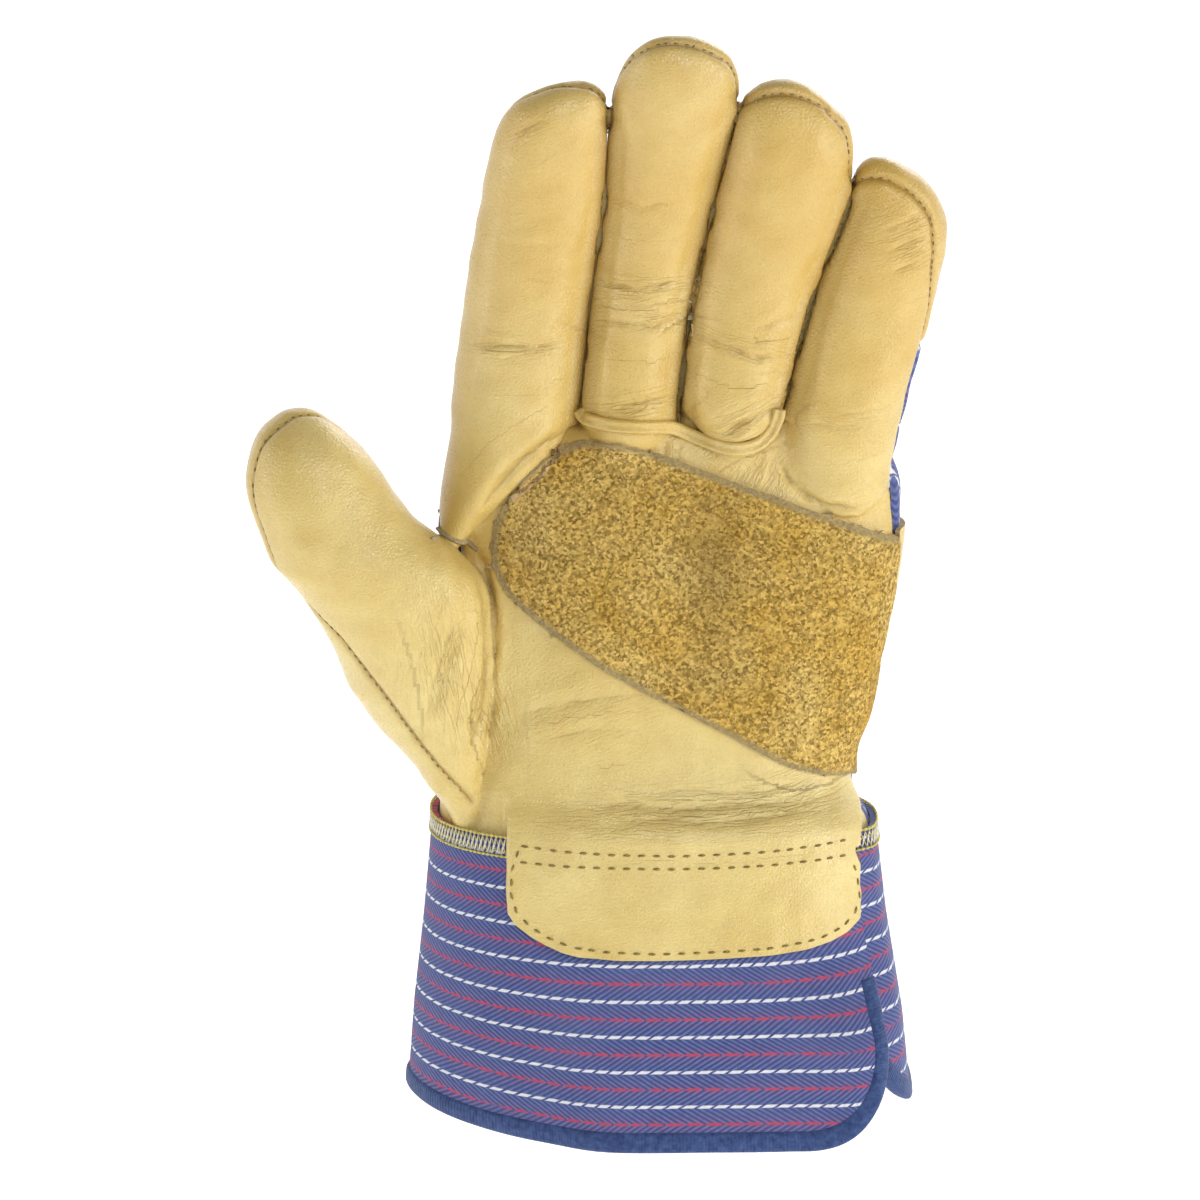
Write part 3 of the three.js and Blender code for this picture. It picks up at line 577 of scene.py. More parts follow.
# creases and puckers on the palm side: name, depth, half width, how far the line strays, its points (x, z)
# the length of a name seeds its wander
folds = [
    ("indexJoint", 0.55, 1.1, 0.5, [(-46.7, 121.2), (-36.8, 122.2), (-29.8, 121.3), (-19.2, 122.2)]),
    ("indexJointLow", 0.22, 1.2, 0.6, [(-42.2, 118.3), (-32.2, 119.2), (-24.2, 117.8)]),
    ("indexTipFold", 0.4, 0.9, 0.3, [(-33.2, 173.4), (-28.7, 176.4), (-25.6, 178.4)]),
    ("indexHigh", 0.16, 1.3, 0.8, [(-38.2, 145.8), (-30.2, 147.2), (-20.2, 146)]),
    ("middleJoint", 0.6, 0.9, 0.8, [(-16.2, 137.8), (-10.4, 136.2), (-3.8, 135.5), (2.8, 136.9), (8.4, 138.1)]),
    ("middleJointLow", 0.3, 1.0, 0.8, [(-13.2, 134), (-6.1, 133.4), (1.8, 134.5)]),
    ("middleLow", 0.5, 1.0, 0.7, [(-15.8, 126.9), (-6.1, 127.4), (-0.2, 126.4), (7.6, 129.3)]),
    ("middleHigh", 0.2, 1.3, 0.8, [(-11.3, 158.2), (-3.9, 156), (7.8, 157)]),
    ("middlePucker", 0.7, 1.1, 0.5, [(-11.5, 105.4), (-7.3, 107.3), (-2.5, 108), (4, 108.4)]),
    ("middlePuckerLow", 0.5, 1.0, 0.5, [(-9, 105.2), (-3.7, 106), (2.4, 106.6)]),
    ("ringJoint", 0.6, 1.1, 0.5, [(7.1, 124.2), (14, 122.4), (22.3, 119.7), (30.8, 117.8)]),
    ("ringJointHigh", 0.32, 1.1, 0.5, [(22.4, 125.8), (28.1, 127.6), (35, 128.1)]),
    ("ringPuckerA", 0.7, 1.0, 0.4, [(14.6, 100.9), (20.1, 102.6), (25.6, 104.7), (29.4, 106.4)]),
    ("ringPuckerB", 0.7, 0.9, 0.4, [(16.2, 100), (19, 101.6), (22.4, 104.6)]),
    ("ringPuckerC", 0.5, 0.9, 0.4, [(13.2, 99.4), (18.4, 100.3), (24.2, 101.3), (28, 103.6)]),
    ("littleLow", 0.22, 1.0, 0.6, [(34.4, 102.5), (43.9, 101.7), (55.3, 103.4)]),
    ("littleLowB", 0.18, 0.9, 0.6, [(39.8, 105.4), (47.8, 104.8), (55.8, 106.4)]),
    ("littleSideA", 0.35, 0.9, 0.4, [(52.5, 149.1), (58.4, 152), (63.7, 154.2)]),
    ("littleSideB", 0.35, 0.9, 0.4, [(53.4, 144.6), (59.6, 147), (64.8, 148.2)]),
    ("littleSideC", 0.28, 0.9, 0.4, [(54.8, 139.4), (59.8, 141.4), (64.8, 142.2)]),
    ("thumbFoldA", 0.6, 0.9, 0.3, [(-44, 60), (-46.1, 54.9), (-48.8, 49), (-50.4, 43.9), (-52.2, 37.5), (-53.6, 29.5)]),
    ("thumbFoldB", 0.5, 0.8, 0.3, [(-45.8, 61), (-49.4, 52.9), (-51.4, 46.6), (-53.4, 40.2), (-55, 31)]),
    ("thumbFoldC", 0.4, 0.8, 0.3, [(-44.4, 55.7), (-47.1, 50), (-48.8, 43.8), (-50.6, 36), (-51.6, 29.3)]),
    ("dartFoldA", 0.8, 1.0, 0.5, [(-39.7, 38), (-41.1, 32.6), (-42.6, 27.9), (-44.3, 22.4)]),
    ("dartFoldB", 0.5, 0.9, 0.5, [(-41.6, 39), (-43.4, 32.9), (-45.4, 26.6)]),
    ("dartFoldC", 0.6, 0.9, 0.5, [(-37.6, 37), (-39.3, 30.3), (-41, 23.6)]),
    ("webPuckerE", 0.22, 0.7, 0.3, [(5.6, 98), (5.8, 94), (4.4, 90.4)]),
    ("webPuckerF", 0.19, 0.7, 0.3, [(26.2, 96), (21.8, 89.6), (18, 87)]),
    ("indexRoot", 1.2, 2.0, 0.4, [(-17.6, 103), (-20.8, 99.4), (-27, 96.2), (-33.4, 91.6), (-38.4, 85), (-43, 79.6)]),
    ("thumbValley", 1.7, 1.5, 0.2, [(-46, 74), (-43.5, 71.1), (-41.4, 66.6), (-39.9, 60.8), (-39.4, 54.5),
        (-39.4, 47.6), (-40.1, 40), (-40.6, 34), (-41, 26)]),
    ("wristFoldA", 0.6, 1.3, 0.3, [(-22.2, 8.8), (-8.4, 10.8), (6.1, 9.4), (20.5, 10.4), (34.9, 9.2), (47.8, 12.4)]),
    ("wristFoldB", 0.45, 1.1, 0.3, [(-15.6, 6), (1.2, 7.4), (15.7, 6.4), (32.5, 7.7), (46.8, 7)]),
    ("wristFoldC", 0.4, 1.1, 0.3, [(-8.2, 13.2), (7.8, 13.8), (23.8, 12.6), (37.8, 14.4), (47.8, 16.8)]),
    ("wristFoldD", 0.35, 1.0, 0.5, [(21.8, 8.6), (33.8, 11.2), (44.8, 15.2)]),
    ("palmSweepA", 0.3, 2.2, 0.8, [(-38.2, 28.8), (-22.8, 34.4), (-8.4, 36.8), (1.8, 37.2)]),
    ("palmSweepB", 0.2, 1.8, 0.8, [(-33.2, 23.8), (-16.2, 28.2), (1.8, 28.6)]),
    ("webPuckerA", 0.28, 0.8, 0.3, [(2.8, 98.4), (2.2, 94), (0.6, 90)]),
    ("webPuckerB", 0.25, 0.8, 0.3, [(27.5, 97.5), (24.4, 90.8), (21.6, 86.6)]),
    ("webPuckerC", 0.25, 0.8, 0.3, [(28.8, 96.4), (27.4, 88.5), (26, 84.4)]),
    ("webPuckerD", 0.22, 0.8, 0.3, [(30.4, 93), (31.8, 88.8), (34.7, 85.4), (38.8, 82.6)]),
    ("littleRoot", 0.6, 1.0, 0.4, [(28.7, 97.5), (29.4, 92.6), (32.3, 87.8), (36.6, 83.8), (41.9, 82), (48.3, 81.6),
        (55, 82.8)]),
]

# places with fine wrinkles: middle (x, z), reach across and along the lines, their angle from +x, strength
wrinklePlaces = [
    ((-49.2, 42.8), (7, 20), 100, 1.0),
    ((-62.2, 40.8), (11, 15), 93, 0.35),
    ((-40.2, 30.8), (6, 12), 105, 0.9),
    ((13.8, 9.3), (6, 40), 2, 0.9),
    ((35.8, 13.8), (7, 18), 14, 0.6),
    ((-10.2, 32.8), (10, 24), 22, 0.28),
    ((19.8, 100.8), (7, 12), 28, 0.9),
    ((-6.2, 106.3), (5, 12), 10, 0.8),
    ((-4.2, 135.8), (3.4, 14), 3, 0.9),
    ((-2.2, 127.8), (3, 12), 8, 0.6),
    ((18.8, 121.8), (3.4, 15), -16, 0.6),
    ((-33.2, 121.3), (3.4, 15), 2, 0.5),
    ((59.8, 146.8), (10, 8), 20, 0.6),
    ((45.8, 103.3), (3.5, 13), 3, 0.4),
    ((24.8, 84.8), (9, 9), 60, 0.7),
    ((4.8, 87.8), (4, 7), -60, 0.6),
    ((-30.2, 174.8), (3.4, 6), 35, 0.6),
]

# soft hollows (negative) and swells of the filled leather: middle (x, z), reach and height
swells = [
    ((13.8, 68.8), (9, 22), -1.9),
    ((-6.2, 56.8), (16, 14), 0.5),
    ((33.8, 48.8), (14, 22), 0.6),
    ((11.8, 40.8), (14, 8), -0.7),
    ((-24.2, 70.8), (10, 10), 0.6),
    ((-26.2, 42.8), (7, 12), -0.9),
    ((15.8, 4), (36, 3.2), 0.9),
    ((-68.2, 58.8), (12, 14), 0.7),
]


farAway = 9.0  # stands for no crease and no cut edge nearby


def shapeHand(mesh):
    base = readPoints(mesh)
    points = base + readNormals(mesh) * handForm["grow"]
    x, y, z = points.T
    for name, line in gapLines.items():  # neighbouring fingers press flat against each other
        lx, lz = zip(*line)
        place = np.interp(z, lz, lx)
        side = np.sign(base[:, 0] - np.interp(base[:, 2], lz, lx))
        near = (np.abs(x - place) < 5) & (z > lz[0] - 2)
        gap = (x - place) * side
        share = 1 - ease(z, gapTops[name] - 6, gapTops[name])
        pressed = np.maximum(gap * (1 - share * (1 - ease(gap, 1.3, 3.6))), 0.03)
        x[near] = (place + side * pressed)[near]
    frontShare = ease(-y, 2, 9)
    onTab = ease(x, -37, -34.6) * (1 - ease(x, 48.6, 51.4)) * frontShare
    outward = np.stack([x / 55 ** 2, y / 30 ** 2, 0 * z], 1)
    outward /= np.linalg.norm(outward, axis=1)[:, None] + 1e-9
    over = 2.0 * (1 - ease(z, 2.5, 11)) + 0.5 * np.exp(-((z - 7.5) / 3) ** 2)
    tuck = -1.9 * (1 - ease(z, 3, 14))
    points += outward * (onTab * over + (1 - onTab) * tuck)[:, None] * (z < 14)[:, None]
    writePoints(mesh, points)
    normals = readNormals(mesh)
    x, y, z = points.T
    facing = ease(-normals[:, 1], 0.05, 0.5)
    lift = ripple(points, 31) * 0.3 + ripple(points, 13, 2.0) * 0.17
    shadeAmount = np.zeros(len(points))
    creases = np.zeros((len(points), 3))
    creases[:, 0] = farAway
    for name, depth, width, wander, line in folds:
        strayed = 0.6 * wander * ripple(points, 6.5, len(name))
        away, ran, total = toLine(x, z, line)
        across = (away + strayed) / width
        fade = ease(ran, 0, 0.3 * total) * (1 - ease(ran, 0.7 * total, total)) * (np.abs(away) < 9)
        fade = fade * (0.75 + 0.25 * ripple(points, 9, 1.1))
        valley = np.exp(-across ** 2)
        brow = np.exp(-(across - 1.7) ** 2) + np.exp(-(across + 1.7) ** 2)
        lift += facing * fade * depth * (0.4 * brow - valley)
        # painted shade: each crease valley also darkens the leather's colour
        shadeAmount += facing * fade * depth * valley
        closer = (np.abs(away + strayed) < np.abs(creases[:, 0])) & (fade > 0.02)
        strength = facing * fade * min(1.0, 0.1 + depth)
        creases[closer] = np.stack([away + strayed, ran, strength], 1)[closer]
    dent = np.zeros(len(points))
    for name, line in gapLines.items():  # painted shade: the leather is darkened beside the slits between the fingers
        away = toLine(x, z, line)[0]
        shadeAmount = np.maximum(shadeAmount, 2.1 * np.exp(-(away / 2.2) ** 2) * (z < gapTops[name]))
    for at, reach, height in swells:
        away = ((x - at[0]) / reach[0]) ** 2 + ((z - at[1]) / reach[1]) ** 2
        lift += facing * height * np.exp(-away)
        # the hollows are also kept as an amount of painted shade for the suede
        dent += max(-height, 0) * np.exp(-away)
    wrinkles = np.zeros((len(points), 3))
    for at, reach, angle, strength in wrinklePlaces:
        turn = math.radians(angle)
        dx, dz = x - at[0], z - at[1]
        along = dx * math.cos(turn) + dz * math.sin(turn)
        across = -dx * math.sin(turn) + dz * math.cos(turn)
        amount = facing * strength * np.exp(-(across / reach[0]) ** 2 - (along / reach[1]) ** 2)
        stronger = amount > wrinkles[:, 2]
        wrinkles[stronger] = np.stack([across + at[0], along, amount], 1)[stronger]
    writePoints(mesh, points + normals * lift[:, None])
    edge = np.full(len(points), farAway)
    for name, values in (("fold", shadeAmount), ("dent", dent), ("edge", edge)):
        mesh.attributes.new(name, "FLOAT", "POINT").data.foreach_set("value", values)
    for name, values in (("wrinkle", wrinkles), ("crease", creases)):
        mesh.attributes.new(name, "FLOAT_VECTOR", "POINT").data.foreach_set("vector", values.ravel())


handMesh = fusedHand()
shapeHand(handMesh)
print("hand form:", len(handMesh.vertices), "vertices")


# cutting the form into its leather and canvas pieces

def lineX(name, z):
    lx, lz = zip(*gapLines[name])
    return np.interp(z, lz, lx)


# where the side seams roll over the fingertips: start and end height, left and right
tipRolls = [(177, 184, -60, -11), (188, 195.4, -11, 19), (178, 184.4, 19.4, 47)]


def seamDepth(x, z):
    # where the side seams run, front to back
    plain = curlAt(z) - 0.07 * x
    thumbSide = np.interp(x, [-98, -88, -80, -70, -58], [-24, -22, -17.5, -14, -12])
    thumbSide = thumbSide * ease(z, 12, 34)
    for low, high, left, right in tipRolls:
        plain = plain - 3.2 * ease(z, low - 2, high) * ((x > left) & (x < right))
    plain = plain - 3.0 * ease(x, 44, 62) * ease(z, 128, 142) - 1.6 * ease(z, 158, 165) * (x > 40)
    for name, top in gapTops.items():  # leather lines the slits between the fingers
        root = gapLines[name][0][1]
        reach = ease(z, root + 2, root + 9) * (1 - ease(z, top - 12, top - 3))
        plain = plain + 4.5 * reach * np.exp(-((x - lineX(name, z)) / 2.6) ** 2)
    under = 1 - ease(z, 68, 80)
    nearThumb = 1 - ease(x, -58 + 8 * under, -47 + 3 * under)
    return np.where(z > 108, plain, plain + (thumbSide - plain) * nearThumb)


def isFront(p):
    return seamDepth(p[:, 0], p[:, 2]) - p[:, 1]


def aboveBase(p):
    return p[:, 2] - np.interp(p[:, 0], *zip(*baseLine))


def inMiddle(p):
    return np.minimum(p[:, 0] - lineX("indexMiddle", p[:, 2]), lineX("middleRing", p[:, 2]) - p[:, 0])


def inRing(p):
    return np.minimum(p[:, 0] - lineX("middleRing", p[:, 2]), lineX("ringLittle", p[:, 2]) - p[:, 0])


def inLittle(p):
    return p[:, 0] - lineX("ringLittle", p[:, 2])


def inThumbPanel(p):
    outline = [(-160, -40)] + thumbPanelEdge + [(-160, 120)]
    return insideOutline(p[:, 0], p[:, 2], outline)


def leftOfThumbSeam(p):
    return insideOutline(p[:, 0], p[:, 2], [(-160, 60)] + thumbSeamLine + [(-160, -40)])


def inIndexBack(p):
    low = np.interp(p[:, 0], [-56, -18], [76, 98.5])
    return np.minimum(lineX("indexMiddle", p[:, 2]) - p[:, 0], p[:, 2] - low)


def aboveWrist(p):
    return p[:, 2] + 2.0


def both(*values):
    return np.minimum.reduce(values)


def either(*values):
    return np.maximum.reduce(values)


def tipCaps(p):
    z = p[:, 2]
    return either(both(inMiddle(p), z - tipStarts["middle"]), both(inRing(p), z - tipStarts["ring"]),
                  both(inLittle(p), z - tipStarts["little"]))


def palmArea(p):
    tab = both(insideOutline(p[:, 0], p[:, 2], tabOutline), -p[:, 1])
    return both(isFront(p), -both(inMiddle(p), aboveBase(p)), -both(inRing(p), aboveBase(p)),
                -leftOfThumbSeam(p), either(aboveWrist(p), tab))


def thumbBackArea(p):
    return both(either(-isFront(p), leftOfThumbSeam(p)), inThumbPanel(p), aboveWrist(p))


def backCanvasArea(p):
    return both(-isFront(p), -inThumbPanel(p), -inIndexBack(p), -tipCaps(p), aboveWrist(p))


def strapArea(p):
    z = p[:, 2]
    low = np.interp(p[:, 0], [-40, 60], [35, 34])
    high = np.interp(p[:, 0], [-40, 60], [69.5, 74])
    return both(-isFront(p) + 0.6, 0.4 - inThumbPanel(p), p[:, 0] + 60, z - low, high - z)


areas = {
    "palm_leather": palmArea,
    "middle_finger_front": lambda p: both(isFront(p), inMiddle(p), aboveBase(p)),
    "ring_finger_front": lambda p: both(isFront(p), inRing(p), aboveBase(p)),
    "thumb_back": thumbBackArea,
    "index_finger_back": lambda p: both(-isFront(p), -inThumbPanel(p), inIndexBack(p)),
    "middle_fingertip_back": lambda p: both(-isFront(p), inMiddle(p), p[:, 2] - tipStarts["middle"]),
    "ring_fingertip_back": lambda p: both(-isFront(p), inRing(p), p[:, 2] - tipStarts["ring"]),
    "little_fingertip_back": lambda p: both(-isFront(p), inLittle(p), p[:, 2] - tipStarts["little"]),
    "back_canvas": backCanvasArea,
}


def cutArea(mesh, area, raised=0.0, least=400):
    # keeps the part of the mesh where area is positive, with a clean edge along its zero line
    points = readPoints(mesh)
    if raised:
        points = points + readNormals(mesh) * raised
    value = area(points)
    bm = bmesh.new()
    bm.from_mesh(mesh)
    side = bm.verts.layers.float.new("side")
    bm.verts.ensure_lookup_table()
    for v, a, co in zip(bm.verts, value.tolist(), points.tolist()):
        v[side] = a
        if raised:
            v.co = (co[0] * mm, co[1] * mm, co[2] * mm)
    outside = [v for v in bm.verts if v[side] < -2.5 and all(e.other_vert(v)[side] < 0 for e in v.link_edges)]
    bmesh.ops.delete(bm, geom=outside, context="VERTS")
    crossing = [e for e in bm.edges if (e.verts[0][side] > 0) != (e.verts[1][side] > 0)]
    onLine = []  # lists keep their order, so each run gives the same mesh
    for e in crossing:
        a, b = e.verts
        share = min(max(a[side] / (a[side] - b[side]), 0.02), 0.98)
        made = bmesh.utils.edge_split(e, a, share)[1]
        made[side] = 0.0
        onLine.append(made)
    marked = set(onLine)
    for f in list(dict.fromkeys(f for v in onLine for f in v.link_faces)):
        cut = [v for v in f.verts if v in marked]
        if len(cut) == 2:
            try:
                bmesh.utils.face_split(f, cut[0], cut[1])
            except ValueError:
                pass
    gone = [f for f in bm.faces if min(v[side] for v in f.verts) < -1e-6]
    bmesh.ops.delete(bm, geom=gone, context="FACES")
    loose = [v for v in bm.verts if not v.link_faces]
    bmesh.ops.delete(bm, geom=loose, context="VERTS")
    bm.verts.layers.float.remove(bm.verts.layers.float["side"])
    dropCrumbs(bm, least)
    return bm


def dropCrumbs(bm, least):
    # deletes all but the largest island and those with at least that many points
    left = set(bm.verts)
    groups = []
    while left:
        stack = [left.pop()]
        group = list(stack)
        while stack:
            v = stack.pop()
            for e in v.link_edges:
                w = e.other_vert(v)
                if w in left:
                    left.remove(w)
                    group.append(w)
                    stack.append(w)
        groups.append(group)
    groups.sort(key=len)
    bmesh.ops.delete(bm, geom=[v for group in groups[:-1] if len(group) < least for v in group], context="VERTS")


def rollEdge(bm, depth, reach, where):
    # leather turns in where it is sewn: points near such an edge sink below the surface, and their colour is darkened
    # there, partly painted shade and partly dirt along the seam
    bm.normal_update()
    rim = [v.co for v in bm.verts if v.is_boundary and where(v.co / mm)]
    if not rim:
        return
    tree = KDTree(len(rim))
    for k, co in enumerate(rim):
        tree.insert(co, k)
    tree.balance()
    moves = []
    fold = bm.verts.layers.float["fold"]
    for v in bm.verts:
        near = tree.find(v.co)[2] / mm
        if near < reach:
            t = 1 - near / reach
            # painted shade, with some dirt, near the sewn edge
            v[fold] = max(v[fold], 2 * t * t)
            moves.append((v, v.normal * (-depth * t * t * mm)))
    for v, move in moves:
        v.co += move


def edgeRuns(bm, where):
    # the open edge as ordered runs of points with their normals, where it passes the test
    bm.normal_update()
    left = {e: True for e in bm.edges if e.is_boundary}
    runs = []
    while left:
        e = next(iter(left))
        del left[e]
        chain = [e.verts[0], e.verts[1]]
        for end in (-1, 0):
            while True:
                ahead = [o for o in chain[end].link_edges if o in left]
                if not ahead:
                    break
                del left[ahead[0]]
                step = ahead[0].other_vert(chain[end])
                chain = chain + [step] if end == -1 else [step] + chain
        run = []
        for v in chain:
            if where(v.co / mm):
                run.append((v.co.copy(), v.normal.copy()))
            elif run:
                runs.append(run)
                run = []
        if run:
            runs.append(run)
    return [run for run in runs if len(run) > 8]


def dressObject(name, bm, materials, thickness=0.0):
    mesh = bpy.data.meshes.new(name)
    for f in bm.faces:
        f.smooth = True
    bm.to_mesh(mesh)
    bm.free()
    obj = meshObject(name, mesh)
    for material in materials:
        mesh.materials.append(material)
    if thickness:
        wall = obj.modifiers.new("wall", "SOLIDIFY")
        wall.thickness = thickness * mm
        wall.offset = -1
        wall.material_offset = 1 if len(materials) > 1 else 0
        wall.material_offset_rim = len(materials) - 1
        mesh = appliedMesh(obj, name)
        mesh.set_sharp_from_angle(angle=math.radians(48))
        obj = meshObject(name, mesh)
    return obj


def finishPiece(obj, slot, *nodes):
    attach(obj, "root")
    if nodes:
        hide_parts(*nodes)
    return obj


leatherWall = 1.5
sewnEdges = {"depth": 1.0, "reach": 2.0}
seamPaths = []


def backUV(bm):
    # the back stripes run up the hand and each finger: run is the height, drop the way round the back
    points = np.array([v.co / mm for v in bm.verts])
    x, y, z = points.T
    lines = [lineX(name, z) for name in ("indexMiddle", "middleRing", "ringLittle")]
    finger = np.where(x < lines[2], (lines[1] + lines[2]) / 2, lines[2] + 14)
    finger = np.where(x < lines[1], (lines[0] + lines[1]) / 2, finger)
    drops = []
    for middle, back, wide in ((0 * x, 17, 20), (finger, curlAt(z) + 10, 5)):
        drops.append(x + 0.9 * np.maximum(back - y, 0) * np.clip((x - middle) / wide, -1, 1))
    share = ease(z, 94, 108)
    drop = (drops[0] * (1 - share) + drops[1] * share).tolist()
    bm.verts.index_update()
    layer = bm.loops.layers.uv.new("UVMap")
    for f in bm.faces:
        for loop in f.loops:
            loop[layer].uv = ((loop.vert.co.z / mm + 60) / clothUnit, (drop[loop.vert.index] + 150) / clothUnit)


def makeLeather():
    for name, area in areas.items():
        bm = cutArea(handMesh, area)
        rollEdge(bm, sewnEdges["depth"], sewnEdges["reach"], lambda co: co.z > 9)
        if name in ("palm_leather", "middle_finger_front", "ring_finger_front"):
            seamPaths.extend(edgeRuns(bm, lambda co: co.z > 12))
        if name == "back_canvas":
            backUV(bm)
            obj = dressObject(name + "_look", bm, [cuffCloth])
            finishPiece(obj, "striped_canvas", name)
        else:
            obj = dressObject(name + "_look", bm, [grain, flesh, edgeFibre], leatherWall)
            finishPiece(obj, "grain_leather", name)
        print(name, len(obj.data.polygons), "faces")


makeLeather()


# overlays: the suede patch and the knuckle strap lie on top

surface = BVHTree.FromPolygons([v.co.copy() for v in handMesh.vertices], [tuple(p.vertices) for p in handMesh.polygons])


def addBead(bm, centre, along, up, length, width, height):
    along = along.normalized()
    across = up.cross(along).normalized()
    up = along.cross(across)
    turn = Matrix((along * length / 2, across * width / 2, up * height / 2)).transposed().to_4x4()
    turn.translation = centre
    bmesh.ops.create_icosphere(bm, subdivisions=1, radius=1, matrix=turn)


def densePath(points, step=0.4):
    out = []
    for (ax, az), (bx, bz) in zip(points, points[1:]):
        count = max(int(math.hypot(bx - ax, bz - az) / step), 1)
        out += [(ax + (bx - ax) * k / count, az + (bz - az) * k / count) for k in range(count)]
    return out + [points[-1]]


# pitch, length, width, height and lift above the leather
stitchSizes = {
    "tab": (3.6, 2.1, 0.75, 0.7, 0.05),
    "seam": (2.2, 1.3, 0.45, 0.4, 0.45),
    "strap": (3.4, 2.0, 0.7, 0.6, 1.4),
    "crotchFoot": (0.8, 1.4, 1.6, 1.0, 0.0),
    "crotchFibre": (0.55, 0.8, 1.0, 1.2, 0.3),
}


def stitchRow(bm, spots, pitch, length, width, height, lift):
    # spots are (place, normal) pairs close together; one stitch each pitch along them
    ran, due = 0.0, pitch / 2
    for (a, na), (b, nb) in zip(spots, spots[1:]):
        ran += (b - a).length / mm
        if ran >= due:
            due += pitch
            addBead(bm, a + na * lift * mm, b - a, na, length * mm, width * mm, height * mm)


patch = {"lift": 1.4, "wall": 1.2, "smoothing": 14, "sewnWidth": 4, "sewnLift": 1.25, "mostMove": 1.2, "least": 9000}


def makePatch():
    area = lambda p: both(insideOutline(p[:, 0], p[:, 2], patchOutline), isFront(p) + 0.4)
    bm = cutArea(handMesh, area, least=patch["least"])
    for _ in range(patch["smoothing"]):  # its depth alone is smoothed, so the outline stays
        bmesh.ops.smooth_vert(bm, verts=bm.verts, factor=0.5, use_axis_y=True)
    bm.normal_update()
    for v in bm.verts:
        v.co += v.normal * patch["lift"] * mm
    edge = bm.verts.layers.float["edge"]
    points = np.array([v.co / mm for v in bm.verts])
    away = insideOutline(points[:, 0], points[:, 2], patchOutline)
    most = patch["mostMove"] * mm
    for v, value in zip(bm.verts, away.tolist()):
        v[edge] = value
        if value < patch["sewnWidth"] and v.normal.y < -0.35:  # its edge is sewn down on the palm
            hit = surface.ray_cast(Vector((v.co.x, -0.2, v.co.z)), Vector((0, 1, 0)))[0]
            if hit:
                t = (1 - value / patch["sewnWidth"]) ** 2
                v.co.y += min(max(hit.y - patch["sewnLift"] * mm - v.co.y, -most), most) * t
    obj = dressObject("palm_patch_look", bm, [suede, flesh, edgeFibre], patch["wall"])
    finishPiece(obj, "suede_leather", "palm_patch")


sideWalls = {
    "ahead": {"indexMiddle": 2.5, "middleRing": 2, "ringLittle": 2.5}, "behind": 5, "belowTip": 8, "wall": 2.2,
}


def makeFingerSides():
    # the fingers' side walls, seen only as the dark bottom of the slits between them
    bm = bmesh.new()
    behind = sideWalls["behind"]
    for name, ahead in sideWalls["ahead"].items():
        low = gapLines[name][0][1] - 1
        high = gapTops[name] - sideWalls["belowTip"]
        made = bmesh.ops.create_grid(bm, x_segments=6, y_segments=30, size=1)["verts"]
        for v in made:
            z = low + (v.co.y + 1) / 2 * (high - low)
            y = float(curlAt(z)) + behind - (1 - v.co.x) / 2 * (ahead + behind)
            v.co = Vector((float(lineX(name, z)) + sideWalls["wall"] / 2, y, z)) * mm
    obj = dressObject("finger_side_walls", bm, [grain], sideWalls["wall"])
    finishPiece(obj, "grain_leather")


strap = {"lift": 1.3, "wall": 1.25, "least": 9000, "stitches": ([(-36, 37), (58, 36)], [(-44, 67.4), (56, 71.6)])}


def makeStrap():
    bm = cutArea(handMesh, strapArea, raised=strap["lift"], least=strap["least"])
    obj = dressObject("knuckle_strap_look", bm, [grain, flesh, edgeFibre], strap["wall"])
    finishPiece(obj, "grain_leather", "knuckle_strap")
    bm = bmesh.new()
    for line in strap["stitches"]:
        spots = [surface.ray_cast(Vector((x, 200, z)) * mm, Vector((0, -1, 0)))[:2] for x, z in densePath(line)]
        stitchRow(bm, [s for s in spots if s[0] is not None and s[1].y > 0.25], *stitchSizes["strap"])
    finishPiece(dressObject("strap_stitches", bm, [oliveThread]), "grain_leather")


makePatch()
makeFingerSides()
makeStrap()
print("patch and strap ready")


# the cuff, its binding and its overlocked top edge

cuff = {
    "height": 72, "dip": 0.025, "slitTop": 34, "slitAngle": -30, "corner": 26, "overlap": 4, "power": 2.45, "wall": 1.3,
    "bandTop": 1.0, "bandFall": 0.022, "bandHeight": 4.5,
    "leftRound": 0.8, "leftBack": 3, "rightSquare": 0.7, "flare": 6,
    "sections": [(8, -1.8, 0, 104.8, 54.6), (0, 0, 0, 109, 59), (-24, 0.4, 0.5, 114, 66), (-48, 1.2, 1.2, 120.5, 74),
                 (-76, 1.7, 2, 125.5, 80)],
}


def cuffSection(z):
    rows = sorted(cuff["sections"])
    zs = [row[0] for row in rows]
    return [float(np.interp(z, zs, [row[k] for row in rows])) for k in (1, 2, 3, 4)]


def sectionPoint(z, angle, out):
    x, y, width, depth = cuffSection(z)
    c, s = math.cos(angle), math.sin(angle)
    left, right = easeOne(-c, -0.15, 0.55), easeOne(c, -0.15, 0.55)
    p = 2 / (cuff["power"] - left * cuff["leftRound"] * min(max(-z / 76, 0), 1)
             + right * cuff["rightSquare"] * min(max((-z - 24) / 26, 0), 1))
    back = cuff["leftBack"] * min(max(-z / 60, 0), 1) * max(-c, 0) ** 2
    return Vector((x + (width / 2 + out) * math.copysign(abs(c) ** p, c),
                   y + back + (depth / 2 + out) * math.copysign(abs(s) ** p, s), z))


def roundTable():
    turns = np.radians(cuff["slitAngle"]) - 2 * math.pi * np.arange(0, 761) / 720
    spots = [sectionPoint(-40, a, 0) for a in turns]
    steps = [0.0] + [(b - a).length for a, b in zip(spots, spots[1:])]
    return turns, np.cumsum(steps)


turnTable, lengthTable = roundTable()
cuffLength = float(lengthTable[720]) + cuff["overlap"]


